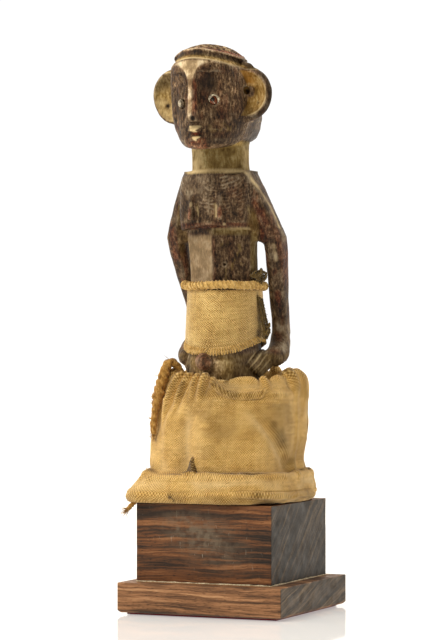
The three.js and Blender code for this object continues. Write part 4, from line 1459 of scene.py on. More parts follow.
def yarn_slant(degrees):
    """How far the band's yarn slants at a place round it: it fans out from the front."""
    return np.clip(-(degrees - BAND_FRONT) / 42, -0.75, 1.0)


def band_fringe():
    fringe = Soup()
    count = 88
    for k in range(count):
        a = (k + 0.3 * RANDOM.random()) / count * 2 * math.pi
        way = float(yarn_slant(math.degrees(a)))
        path = [band_point(a + way * h / 22, h / 34.2, 0.35 + 0.2 * math.sin(k)) for h in (3.4, 1.6, 0.2)]
        hang = np.array([-way * 0.5 * math.sin(a), 0.4 * way * math.cos(a), -0.9 - 0.5 * RANDOM.random()])
        tip = path[-1] + hang
        fringe.yarn(smooth_path([*path, tip], 0.45), 0.52 + 0.1 * RANDOM.random(), 2, 2.2, 6)
    return fringe.piece("waist_band_fringe", [PLAIN], slot="band_cloth")


def band_selvage():
    """The ragged dark yarn down the band's end, at the doll's left side."""
    selvage = Soup()
    for k in range(3):
        route = [
            (19.9 - 3.6 + 0.5 * k, -6.0 + 2.2 * k, 111 - k),
            (18.2 + 0.3 * k, -5.4 + 2 * k, 103),
            (18.9 + 0.5 * k, -5 + 2 * k, 96),
            (20.4 + 0.4 * k, -4.6 + 2 * k, 91.5),
            (19.4, -4.4 + 1.6 * k, 88.4),
        ]
        jitter = RANDOM.normal(0, 0.25, (len(route), 3))
        path = smooth_path([(x, y, z + BLOCK_TOP) for x, y, z in np.array(route) + jitter], 0.5)
        selvage.yarn(path, 0.85, 2, 3.0, 7)
        hairs(selvage, path[::3], [(1, -0.5, 0)] * len(path[::3]), 1.6, 0.13, 0.7)
    for _ in range(7):
        centre = np.array([20.6, -3.6, 90.6 + BLOCK_TOP]) + RANDOM.normal(0, (0.7, 0.8, 1.5), 3)
        selvage.yarn(closed_loop(centre, 1.7), 0.6, 2, 2.6, 6, closed=True)
    return selvage.piece("waist_band_selvage", [DARK], slot="dark_yarn")


def waist_band():
    cols, rows = ((520, 120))
    angle = (np.arange(cols) / cols * 2 * math.pi)[None]
    share = np.linspace(0, 1, rows)[:, None]
    u, v = angle / (2 * math.pi) * BAND_ROUND, share * (BAND_TOP - BAND_BOTTOM)
    facing = np.degrees(angle) - BAND_FRONT
    where = np.stack(np.broadcast_arrays(u, v, 0 * u * v), -1)
    # slanting rows of thick yarn, which fan out round the front and show most near the lower edge
    fan = yarn_slant(np.degrees(angle))
    rows_of_yarn = np.sin(2 * math.pi * (u - fan * v + 0.5 * noise(where, 6, 41)) / 1.42)
    low = step(17, 0, v)
    lift = 0.05 + 0.15 * low * rows_of_yarn + 0.07 * (1 - low) * noise(where, (1.0, 1.4, 1), 42)
    lift = lift + 0.3 * noise(where, (16, 12, 1), 43) + 0.12 * noise(where, 4, 44)
    crease = 6.2 - 0.05 * (facing - 6) ** 2 / 10
    lift = lift - 0.35 * bump(v, crease + 3, 1.3) * bump(facing, 6, 13)
    lift = lift + 0.5 * bump(v, 0.8, 1.2) * (0.6 + 0.4 * rows_of_yarn)
    outer = band_point(angle, share, lift)
    # the lower edge is uneven, thread by thread
    outer[..., 2] -= bump(v, 0, 1.6) * (0.35 * rows_of_yarn + 0.5 * noise(where, 5, 45))
    inner = band_point(angle, share, -BAND_THICK)
    inner[..., 2] += 0.25 * bump(v, 0, 1.0)
    # painted shade on the band's side turned from the light, and darker along its lower edge and in patches
    # under the roll
    side = step(52, 64, np.abs(facing - 8)) * step(120, 84, np.abs(facing - 8)) * (facing > 0)
    shade = 0.75 * side * step(0.2, 0.8, noise(where, (2.5, 5, 1), 46) * 0.5 + 0.62) + 0.16 * bump(v, 0, 3)
    shade = shade + 0.3 * step(0.25, 0.7, noise(where, (3, 5, 1), 47)) * bump(v, 33, 4)
    # painted shade in the gaps between the rows of yarn
    gaps = step(0.1, -0.9, rows_of_yarn) * (0.12 + 0.3 * low)
    shade = np.broadcast_to(shade + gaps, outer.shape[:2])
    # painted highlights on the rows of yarn and on the band's side towards the light
    worn = 0.3 * step(0.2, 0.9, rows_of_yarn) * (0.3 + 0.7 * low) + 0.35 * step(-44, -60, facing)
    band = shell(
        outer,
        inner,
        (BAND_ROUND, v[:, 0]),
        "waist_band_cloth",
        [BAND_CLOTH],
        ["waist_band"],
        "band_cloth",
        shade=np.clip(shade, 0, 1),
        worn=np.broadcast_to(worn, outer.shape[:2]),
    )
    edge, ragged = band_fringe(), band_selvage()


def closed_loop(centre, size):
    """A bent ring round a centre, turned at random."""
    turn = np.linalg.qr(RANDOM.normal(0, 1, (3, 3)))[0]
    t = np.linspace(0, 2 * math.pi, 26, endpoint=False)
    local = np.stack(
        [np.cos(t) * size, np.sin(t) * size * 0.7, 0.35 * size * np.sin(2 * t + RANDOM.random() * 6)], 1
    )
    return centre + local @ turn.T


def band_roll():
    """The band's upper edge, rolled over its cord and overcast with thick yarn."""
    steps = 620
    angle = np.arange(steps) / steps * 2 * math.pi
    x, y = ring_point(angle, 21, 21.6, 3, 14.4, 2.3)
    wander = noise(np.stack([x, y, 0 * x], 1), 9, 51)
    z = 116.2 + 0.5 * wander
    path = np.stack([x + LEAN * z, y, z + BLOCK_TOP], 1)
    sides = 22
    around = (np.arange(sides) / sides * 2 * math.pi)[None]
    travel = (angle / (2 * math.pi) * 132)[:, None]
    where = np.stack(np.broadcast_arrays(travel, np.cos(around) * 2, np.sin(around) * 2), -1)
    wraps = np.abs(np.sin(math.pi * (travel / 3.3 + around / (2 * math.pi) + 0.25 * noise(where, 5, 52))))
    radius = 1.84 + 0.26 * wraps + 0.24 * noise(where, 2.2, 53) + 0.16 * noise(where, 0.9, 54)
    soup = Soup()
    soup.tube(path, radius, sides, closed=True)
    soup.piece("waist_band_roll", [PLAIN], ["waist_band_cord"], "cord")
    stitches = Soup()
    count = 62
    for k in range(count):
        i = int((k + 0.5 * RANDOM.random()) / count * steps)
        a = angle[i]
        out = np.array([math.cos(a), math.sin(a), 0])
        ahead = np.array([-math.sin(a), math.cos(a), 0])
        centre = path[i]
        route = []
        for h, w in enumerate((-1.5, -0.7, 0.1, 0.9, 1.7)):
            lift = np.array([0, 0, 2.25 * math.sin(w)])
            route.append(centre + ahead * (2.0 - 0.9 * h) + out * (2.15 * math.cos(w)) + lift)
        stitches.yarn(
            smooth_path(route, 0.5), 0.4 + 0.22 * RANDOM.random(), 2, 2.4, 6,
            shade=0.2 * RANDOM.random(),
        )
    stitches.piece("waist_band_overcasting", [PLAIN], slot="cord")


def band_knot():
    soup = Soup()
    centre = np.array([17.9, -6.2, 121.4 + BLOCK_TOP])
    for _ in range(9):
        size = RANDOM.uniform(2.2, 3.9)
        place = centre + RANDOM.normal(0, (0.9, 0.8, 0.9), 3)
        soup.yarn(closed_loop(place, size), 0.72, 2, 2.8, 7, closed=True, shade=0.35 * RANDOM.random())
    for _ in range(3):
        start = centre + RANDOM.normal(0, 1, 3)
        route = [start, start + (1.5, -1.2, -1.8), start + RANDOM.normal(0, 1, 3) + (1.2, -2.2, -3.6)]
        soup.yarn(smooth_path(route, 0.5), 0.62, 2, 2.6, 7)
    soup.piece("waist_band_knot", [DARK], ["waist_band_tie"], "dark_yarn")


waist_band()
band_roll()
band_knot()

# the skirt's section in (half width, height), from the end of the casing's inner flap, over the rim,
# down to the inside of the rolled hem
SKIRT_SECTION = [
    (34.6, 54.5), (33.2, 58), (31.4, 63), (31.6, 67), (33.6, 68.8), (35.8, 66.6), (37.6, 61),
    (38.2, 53.6), (38.6, 40), (37.4, 24), (38, 15.6), (40.8, 13.6), (41.8, 8.4), (41.4, 3),
    (38.6, 1.2), (35.2, 2.2), (34.2, 6), (35.4, 9.6),
]
SQUARENESS = [(0, 3.2), (16, 3), (40, 2.35), (70, 2.1)]
MIDDLE = [(8, -1.6), (22, -3.2), (40, -1.2), (64, 1.4)]
SKIRT_ROUND = 262.0  # mm round the foot
SEAM_HEIGHT = 55.2  # mm: the middle height of the casing's wavy seam
FLOOR_GAP = 0.35  # mm between the cloth and the block


def turn_gap(degrees, centre):
    """Degrees from a centre, from -180 to 180."""
    return (degrees - centre + 180) % 360 - 180


def skirt_outline(degrees, half, height):
    n = np.interp(height, *zip(*SQUARENESS))
    angle = np.radians(degrees)
    c, s = np.cos(angle), np.sin(angle)
    reach = half / (np.abs(c) ** n + np.abs(s) ** n) ** (1 / n)
    low = np.clip((16 - height) / 12, 0, 1)
    reach = reach + 10.5 * np.exp(-((turn_gap(degrees, 222.4) / 17) ** 2)) * low
    x = np.interp(height, *zip(*MIDDLE)) + reach * c
    return x, reach * s


def skirt_base():
    line = smooth_path([(h, z, 0) for h, z in SKIRT_SECTION], 0.6)
    along = np.concatenate([[0], np.cumsum(np.linalg.norm(np.diff(line, axis=0), axis=1))])
    return line[:, 0], line[:, 1], along


# rim valleys: degrees, slant in degrees for each mm down, width in degrees, depth, height where it ends
RIM_VALLEYS = [
    (219, 0, 2.6, 2.6, 36), (237, -0.3, 1.9, 2.6, 38), (248, -0.3, 1.7, 2.3, 44), (256, 0.1, 1.2, 1.2, 52),
    (264.5, 0.05, 1.9, 2.3, 50), (271, 0.6, 1.3, 1.5, 56), (318, 0.3, 2.2, 2.3, 58), (333, 0, 2.2, 1.2, 60),
    (349, 0.25, 2.8, 2.8, 50), (368, 0, 3.6, 2.2, 44),
]
for turn in range(24, 216, 16):
    depth, end = 1.9 + 0.5 * math.sin(turn * 2), 44 + 6 * math.cos(turn)
    RIM_VALLEYS.append((turn + 5 * math.sin(turn), 0.15 * math.cos(turn), 3.6, depth, end))


def pouch_mouth(degrees, z):
    """1 in the three-cornered opening beside the pouch, with its point at the top."""
    half = np.clip((25 - z) / 10, 0, 1) * 5.2 + 0.1
    lean = 261.5 + 0.22 * (z - 14)
    return (
        step(half + 0.6, half - 0.6, np.abs(turn_gap(degrees, lean))) * step(13.9, 14.6, z)
        * step(25.4, 23.4, z)
    )


def slanting_crest(z):
    """Where the one long slanting fold runs, in degrees."""
    return np.interp(z, [12, 23.7, 34.2, 40.6, 49, 54], [348, 339, 325, 317, 306.5, 302])


# upright folds: degrees, width in degrees, depth, and the heights that they run between
UPRIGHT_FOLDS = [
    (256, 6, 2.0, 18, 50), (275, 8, -2.2, 14, 52), (296, 9, 1.2, 20, 48), (353, 3, -1.3, 12, 52),
    (361, 4, 0.9, 14, 54), (374, 6, -1.2, 14, 46), (238, 4, -1.0, 26, 54), (214, 6, -1.0, 16, 50),
]


def skirt_folds(degrees, z, outside):
    """How far the cloth stands out from its smooth shape, in mm. outside is 0 on the inside."""
    d = 0.0
    for centre, slant, width, depth, end in RIM_VALLEYS:
        gap = turn_gap(degrees, centre + slant * (68 - z))
        fade = step(end, end + 16, z)
        d = (
            d
            - depth * fade * bump(gap, 0, width)
            + 0.45 * depth * fade * bump(np.abs(gap), 2.4 * width, 1.3 * width)
        )
    # the front of the casing puffs out over its seam
    seam = np.interp(degrees, [268, 276, 284, 290, 303, 313, 321], [66, 62.6, 59.8, 58.2, 57.6, 58.4, 62.4])
    puff = step(268, 280, degrees) * step(321, 312, degrees)
    d = (
        d
        + puff
        * (1.9 * bump(z, seam + 4.8, 3.8) - 1.7 * bump(z, seam, 1.1) + 0.7 * bump(z, seam - 2.8, 1.7))
    )
    puff = step(319, 325, degrees) * step(349, 342, degrees)
    d = d + puff * (1.6 * bump(z, 64, 4.4) - 1.3 * bump(z, 57.6, 1.2))
    # the seam's pucker all round
    line = SEAM_HEIGHT + 1.2 * np.sin(np.radians(degrees * 3)) + 0.6 * np.sin(np.radians(degrees * 7))
    d = d - 0.45 * bump(z, line, 0.9) * (0.7 + 0.3 * np.sin(np.radians(degrees * 31)))
    # darned ribs at the right of the front
    ribs = step(300, 308, degrees) * step(350, 342, degrees) * bump(z, 51.3, 2.6)
    d = d + 0.2 * ribs * np.sin(2 * math.pi * z / 1.15)
    # one long slanting fold
    across = turn_gap(degrees, slanting_crest(z)) * 0.68
    ridge = np.where(across < 0, bump(across, 0, 11), bump(across, 0, 4.5))
    hollow = (1 - bump(across, 0, 5.0)) * bump(across, 0, 14) * (across > 0)
    d = d + step(56, 40, z) * step(12, 18, z) * (1.9 * ridge - 2.4 * hollow)
    # soft upright folds
    for centre, width, depth, low, high in UPRIGHT_FOLDS:
        ends = step(low - 4, low + 6, z) * step(high + 4, high - 8, z)
        d = d + depth * bump(turn_gap(degrees, centre), 0, width) * ends
    for turn in range(30, 200, 24):
        sway = turn + 3 * np.sin(z / 14 + turn)
        d = (
            d
            + 0.9 * math.cos(turn * 3) * bump(turn_gap(degrees, sway), 0, 6.5) * step(12, 24, z)
            * step(58, 46, z)
        )
    # a pouch at the left that hangs over the hem, and the opening at its right end
    pouch = step(222, 234, degrees) * step(263, 256.5, degrees - 0.5 * (z - 14))
    d = d + pouch * (2.0 * step(13.0, 15.4, z) * step(34, 18, z))
    d = d - 2.0 * pouch_mouth(degrees, z)
    # the wall tucks in above the hem
    d = d - 1.9 * bump(z, 14.6 + 0.5 * np.sin(np.radians(degrees * 5)), 1.2)
    return d * outside


def hem_folds(degrees, z, outside):
    slit = step(292, 312, degrees) * step(380, 368, degrees)
    line = 5.4 + 0.5 * np.sin(np.radians(degrees * 4)) - 0.7 * step(330, 372, degrees) * slit
    d = -(0.6 + 2.7 * slit) * bump(z, line, 0.66 + 0.14 * slit)
    d = d + 0.5 * slit * bump(z, line - 2.2, 1.5)
    d = (
        d
        - 1.0 * bump(turn_gap(degrees, 232), 0, 2.2) * bump(z, 12.4, 2.4)
        - 0.9 * bump(turn_gap(degrees, 224), 0, 1.6) * bump(z, 12, 3)
    )
    return d * outside


def skirt_surface(degrees, half, height, along):
    """The cloth's outside for grids of degrees and section rows."""
    x, y = skirt_outline(degrees, half, height)
    high = np.clip((height - 46) / 20, 0, 1)
    z = height + high * (0.055 * y - 0.5 + 1.7 * bump(turn_gap(degrees, 224), 0, 10))
    base = np.stack(np.broadcast_arrays(x, y, z), -1)
    normal = turned(base)
    outside = step(11, 15, along) * step(83.5, 80, along)
    hem_outside = step(72, 76, along) * step(96, 92, along)
    where = np.stack(np.broadcast_arrays(degrees / 360 * SKIRT_ROUND, along, 0 * degrees * along), -1)
    fold = skirt_folds(degrees, z, outside) + hem_folds(degrees, z, hem_outside)
    fold = (
        fold
        + 0.55 * noise(where, (11, 9, 1), 61)
        + 0.22 * noise(where, (4.5, 4, 1), 62)
        + 0.06 * noise(where, (1.4, 1.4, 1), 63)
    )
    scallop = bump(along, 15.6, 5) * (0.9 * noise(where, (6, 30, 1), 64))
    points = base + normal * fold[..., None]
    points[..., 2] += scallop - 0.4 * bump(along, 84, 5) * noise(where, (7, 30, 1), 65)
    points[..., 2] = np.maximum(points[..., 2], FLOOR_GAP)
    return points, fold


def soften(grid):
    """A grid that closes sideways, blurred over about eight mm."""
    for reach in (1, 2, 4, 6, 8):
        grid = (np.roll(grid, reach, 1) + 2 * grid + np.roll(grid, -reach, 1)) / 4
        rows = np.arange(len(grid))
        above, below = grid[np.maximum(rows - reach, 0)], grid[np.minimum(rows + reach, len(grid) - 1)]
        grid = (above + 2 * grid + below) / 4
    return grid


SKIRT_THICK = 1.1
HEM_TUCK = 14.6  # mm: the height at which the wall tucks in above the hem


def skirt_shade_and_stains(degrees, height, along, relief, shade_strength):
    """How dark the cloth is at each point: painted shade in its hollows, creases and the pouch's opening,
    beside the slanting fold and under the hem roll, with dark patches and broad random stains.
    """
    where = np.stack(np.broadcast_arrays(degrees, along, 0 * degrees * along), -1)
    wall = step(12, 16, along) * step(74, 70, along)
    beside = turn_gap(degrees, slanting_crest(height))
    tuck = along.ravel()[int(np.argmin(np.abs(height.ravel() - HEM_TUCK) + 99 * (along.ravel() < 50)))]
    shade = (
        0.9 * bump(turn_gap(degrees, 248.5), 0, 3.4) * bump(along, 84.5, 2.0)
        * step(0.1, 0.5, noise(where, 2.2, 66) + 0.5)
    )
    shade = shade + 0.35 * step(0.3, 0.8, noise(where, (9, 6, 1), 67)) * bump(along, 86, 3)
    # painted shade in the hollows and in the pouch's opening
    shade = (
        shade
        + (0.34 + 0.12 * step(48, 54, height)) * shade_strength * step(0.25, 1.9, -relief)
        + 0.95 * wall * pouch_mouth(degrees, height)
    )
    # painted shade in the upright valley, in the tuck above the hem, beside the slanting fold and under the
    # hem roll
    shade = shade + 0.34 * shade_strength * wall * bump(turn_gap(degrees, 274), 0, 8) * bump(height, 34, 16)
    shade = shade + 0.5 * shade_strength * bump(along, tuck, 1.1)
    shade = shade + 0.4 * shade_strength * wall * bump(beside, 8, 5.5) * step(14, 22, height) * step(54, 44, height)
    shade = shade + 0.26 * shade_strength * step(81.5, 86, along)
    shade = shade + 0.34 * wall * step(0.0, 1.0, noise(where, (24, 12, 1), 72) + 0.3 * shade_strength)
    shade = shade + 0.3 * bump(along, 85.5, 3.5) * step(0.0, 0.6, noise(where, (14, 4, 1), 68))
    return np.clip(shade, 0, 1)


def skirt_highlights(degrees, height, along, relief):
    """How pale the cloth is at each point: painted highlights on its crests and ridges, on the top of the hem
    roll and along its left and right edges.
    """
    where = np.stack(np.broadcast_arrays(degrees, along, 0 * degrees * along), -1)
    wall = step(12, 16, along) * step(74, 70, along)
    beside = turn_gap(degrees, slanting_crest(height))
    # painted highlights on the crests and on the upright ridge
    worn = (
        0.26 * step(0.1, 1.2, relief)
        + 0.3 * wall * bump(turn_gap(degrees, 256), 0, 6) * bump(height, 34, 14)
    )
    # painted highlight on the top of the hem roll
    worn = worn + 0.4 * bump(along, 77.5, 3.4) * step(-0.2, 0.5, noise(where, (16, 4, 1), 70))
    # painted highlight on the slanting fold's flank towards the light
    worn = worn + 0.26 * wall * bump(beside, -2, 3.4) * step(14, 22, height) * step(54, 44, height)
    # painted highlights along the cloth's right and left edges
    worn = (
        worn
        + 0.2 * wall * step(372, 382, degrees)
        + 0.15 * wall * step(216, 206, degrees) * step(190, 204, degrees)
    )
    return np.clip(worn, 0, 1)


def nearest(values, wanted):
    """The place of the value that is closest to the wanted one."""
    return int(np.argmin(np.abs(values - wanted)))


def running_stitches(outer, normal, height, along):
    """Stitches on the casing's seam and on the hem."""
    stitches = Soup()
    cols = outer.shape[1]

    def dash(centre_degrees, row, length, radius, tilt):
        i = nearest(along, row)
        span = length / SKIRT_ROUND * 360
        path = []
        for t in np.linspace(-0.5, 0.5, 5):
            j = int(round(((centre_degrees + t * span) % 360) / 360 * cols)) % cols
            k = int(np.clip(i + tilt * t * 2, 1, len(along) - 2))
            path.append(outer[k, j] + normal[k, j] * (0.42 - 1.9 * t * t))
        stitches.yarn(smooth_path(path, 0.4), radius, 2, 1.8, 6)

    wall = slice(nearest(along, 17), nearest(along, 74))
    for turn in np.arange(0, 360, 3.6):
        z = SEAM_HEIGHT + 1.2 * math.sin(math.radians(turn * 3)) + 0.6 * math.sin(math.radians(turn * 7))
        row = along[wall][nearest(height[wall], z)]
        dash(turn + 0.5 * RANDOM.random(), row, 1.7, 0.3, 0.6)
    for turn in np.arange(0, 360, 4.1):
        dash(turn + 0.8 * RANDOM.random(), 80.4 + 0.4 * math.sin(turn), 1.9, 0.34, 0.8)
    return stitches.piece("skirt_stitching", [PLAIN], slot="skirt_cloth")


def skirt_frays(outer, normal, along):
    frays = Soup()
    cols = outer.shape[1]
    hem_row, wall_foot = nearest(along, 86), nearest(along, 72)
    for _ in range(150):
        j = RANDOM.integers(0, cols)
        hairs(frays, [outer[hem_row, j]], [normal[hem_row, j] * 0.8 + (0, 0, -0.25)], 1.5, 0.08, 0.5)
    for j in (RANDOM.normal(0.615, 0.004, 14) * cols).astype(int):
        hairs(frays, [outer[wall_foot, j]], [(-0.6, -0.4, 0.8)], 2.4, 0.11, 0.4)
    return frays.piece("skirt_frays", [PLAIN], slot="skirt_cloth")


def skirt():
    cols = 620
    half, height, along = skirt_base()
    degrees = (np.arange(cols) / cols * 360)[None]
    # the visible front lies from 204 to 384 degrees
    degrees = np.where(degrees < 24, degrees + 360, degrees)
    high, down = height[:, None], along[:, None]
    outer, fold = skirt_surface(degrees, half[:, None], high, down)
    relief = fold - soften(fold)
    normal = turned(outer)
    inner = outer - normal * SKIRT_THICK
    inner[..., 2] = np.maximum(inner[..., 2], FLOOR_GAP)
    where = np.stack(np.broadcast_arrays(degrees, down, 0 * degrees * down), -1)
    # how strong the painted shade is, varying at random
    shade_strength = 0.75 + 0.45 * noise(where, (5, 4, 1), 69)
    shade = skirt_shade_and_stains(degrees, high, down, relief, shade_strength)
    worn = skirt_highlights(degrees, high, down, relief)
    for layer in (outer, inner):
        layer[..., 2] += BLOCK_TOP
    cloth = shell(
        outer, inner, (SKIRT_ROUND, along), "skirt_cloth_sheet", [SKIRT_CLOTH], ["skirt"],
        "skirt_cloth", shade=shade, worn=worn,
    )
    sewn = running_stitches(outer, normal, height, along)
    loose = skirt_frays(outer, normal, along)


skirt()


def hidden_cords():
    drawstring, hem = Soup(), Soup()
    turn = np.arange(0, 360, 1.2)
    for soup, half, height, radius in ((drawstring, 34.4, 62.4, 1.35), (hem, 37.8, 7, 1.55)):
        x, y = skirt_outline(turn, half, height)
        high = np.clip((height - 46) / 20, 0, 1)
        z = height + high * (0.05 * y - 1.6)
        soup.yarn(np.stack([x, y, z + BLOCK_TOP + 0 * x], 1), radius, 3, 7, 8, closed=True)
    # the hem cord's frayed end leaves the roll at the doll's front right corner
    route = [
        (-37.6, -33.2, 4.6), (-39.4, -35, 2.6), (-41.2, -36.8, 0.6), (-43, -38.4, -1.6),
        (-44.4, -39.6, -3.8),
    ]
    stub = smooth_path([(x, y, z + BLOCK_TOP) for x, y, z in route], 0.5)
    hem.yarn(stub, np.linspace(1.5, 1.35, len(stub)), 3, 5.5, 8)
    for _ in range(34):
        hairs(hem, [stub[-1] + RANDOM.normal(0, 0.7, 3)], [(-0.6, -0.5, -0.5)], 3.0, 0.2, 0.45)
    drawstring.piece("skirt_drawstring_cord", [OCHRE], ["skirt_drawstring"], "cord")
    hem.piece("hem_cord_twist", [OCHRE], ["hem_cord"], "cord")


hidden_cords()


# ---------------------------------------------------------------- eyes


def inlay_look():
    look = Look("worn_inlay")
    fine, cloud = look.noise(0.5, 3), look.noise(1.4, 2)
    tone = look.total((fine, 0.5), (cloud, 0.5))
    colour = look.ramp(tone, (0.36, rgb(62, 54, 44)), (0.5, rgb(156, 142, 118)), (0.64, rgb(232, 218, 186)))
    # the shade attribute gives the disc its orange-brown, and paints the hole near black as painted shade
    deep = look.ramp(look.attribute("shade"), (0.6, rgb(150, 76, 32)), (1.0, rgb(24, 14, 8)))
    colour = look.mix(look.ramp(look.attribute("shade"), (0.0, 0.0), (0.6, 1.0)), colour, deep)
    return look.finish(colour, 0.38, look.bump(fine, 0.12, 0.8))


def worn_bead(centre, across, up, out):
    """A bead that stands upright in its socket, worn uneven."""
    sides = 28
    around = np.arange(sides) / sides * 2 * math.pi
    path, radii = [], []
    for angle in np.linspace(-math.pi / 2, math.pi / 2, 22)[1:-1]:
        path.append(centre - across * 0.5 + up * (0.4 + 2.2 * math.sin(angle)) - out * 0.9)
        radii.append(max(math.cos(angle), 0.1) * 1.55 * (1 + 0.05 * np.sin(5 * around + 3 * angle)))
    soup = Soup()
    soup.tube(np.array(path), np.array(radii), sides)
    return soup


def broken_ring(centre, across, up, out):
    """A thin ring with a gap, and a sliver, in front of a dark disc with a darker hole."""
    soup = Soup()
    angle = np.radians(np.linspace(-48, 206, 60))
    path = centre - out * 0.25 + 2.45 * (np.cos(angle)[:, None] * across + np.sin(angle)[:, None] * up * 1.05)
    taper = np.sin(np.linspace(0.08, math.pi - 0.08, 60)) ** 0.5
    swelling = 0.42 * bump(np.degrees(angle), 150, 32) + 0.42 * bump(np.degrees(angle), 12, 32)
    soup.tube(path, (0.42 + swelling + 0.08 * noise(path, 1.1, 71)) * taper, 9)
    start, end = centre - across * 0.9 + up * 0.3 - out * 1.9, centre + across * 0.6 - up * 2.1 - out * 0.3
    along = np.linspace(0, 1, 12)[:, None]
    soup.tube(
        start + (end - start) * along,
        np.interp(along[:, 0], [0, 0.7, 1], [0.12, 0.3, 0.14]),
        6,
        shade=0.15,
    )
    disc = np.array([centre - out * d for d in (2.55, 2.2, 2.0)])
    soup.tube(disc, np.array([2.4, 2.4, 1.9]), 26, shade=0.72)
    # the hole is a solid painted near black: painted shade in the bead's hole
    hole = np.array([centre - across * 0.5 + up * 0.5 - out * d for d in (2.5, 2.1, 1.8)])
    soup.tube(hole, np.array([1.3, 1.3, 1.0]), 18, shade=1.0)
    return soup


def eyes():
    """What is left of the two inlays: a worn bead in the right eye, and a thin broken ring in the left."""
    look = inlay_look()
    turn = math.radians(EYE_TURN)
    up = np.array((0, 0, 1.0))
    for side, inlay, name, node in (
        (-1, worn_bead, "eye_bead_right", "eye_inlay_right"),
        (1, broken_ring, "eye_ring_left", "eye_inlay_left"),
    ):
        out = np.array((side * math.sin(turn), -math.cos(turn), 0))
        across = np.array((math.cos(turn), side * math.sin(turn), 0))
        height = EYE_HEIGHT - EYE_DROP[side] + BLOCK_TOP
        centre = np.array((side * EYE_SPREAD + LEAN * EYE_HEIGHT, -EYE_FORWARD, height))
        inlay(centre, across, up, out).piece(name, [look], [node], "inlay")


eyes()


# ---------------------------------------------------------------- the stand


def rosewood(name, black, brown, orange, light, lean, pitch, haze, end_black, end_grey, end_light):
    """Banded wood: the figure runs along X and rises along Y, as sawn through the same plank."""
    look = Look(name)
    split = look.tree.nodes.new("ShaderNodeSeparateXYZ")
    look.join(split.inputs[0], look.mm)
    x, y, z = split.outputs
    sway = look.math("MULTIPLY", look.math("SUBTRACT", look.noise(15, 3, (2.4, 1.3, 1)), 0.5), 5.5)
    phase = look.math(
        "SUBTRACT", look.math("ADD", z, sway), look.math("MULTIPLY", look.math("ADD", y, 36.5), lean)
    )
    along = look.math("DIVIDE", look.math("ADD", y, look.math("MULTIPLY", z, lean)), 24)
    place = look.node("CombineXYZ", {0: look.math("DIVIDE", x, 24), 1: along, 2: phase})
    coarse = look.noise(pitch * 2.6, 3, vector=place)
    bands = look.noise(pitch, 3, vector=place, distortion=0.25)
    lines = look.noise(pitch * 0.3, 2, vector=place)
    pores = look.noise(0.4, 1, (7, 7, 1))
    tone = look.total((coarse, 0.55), (bands, 0.6), (lines, 0.3))
    tone = look.math("SUBTRACT", tone, look.math("MULTIPLY", look.ramp(pores, (0.3, 1.0), (0.42, 0.0)), 0.1))
    colour = look.ramp(tone, (0.56, black), (0.68, brown), (0.79, orange), (0.92, light))
    end = look.math("MULTIPLY", look.attribute("end"), 0.9)
    colour = look.mix(end, colour, look.ramp(tone, (0.56, end_black), (0.74, end_grey), (0.92, end_light)))
    # a hazy stain, and fine scratches in it
    veil = look.math(
        "MULTIPLY", look.attribute("haze"), look.ramp(look.noise(3.5, 4), (0.36, 0.15), (0.62, 0.85))
    )
    colour = look.mix(veil, colour, haze)
    scratch = look.ramp(look.noise(0.9, 2, (1, 1, 4.5), distortion=1.2), (0.69, 0.0), (0.75, 0.7))
    scratched = look.math("MULTIPLY", scratch, look.math("ADD", look.attribute("haze"), 0.12, clamp=True))
    colour = look.mix(scratched, colour, rgb(206, 194, 172))
    rough = look.ramp(look.noise(5, 3), (0.3, 0.42), (0.7, 0.6))
    normal = look.bump(look.math("ADD", tone, look.math("MULTIPLY", scratch, 0.3)), 0.12, 0.5)
    return look.finish(colour, rough, normal, Specular_IOR_Level=0.25)


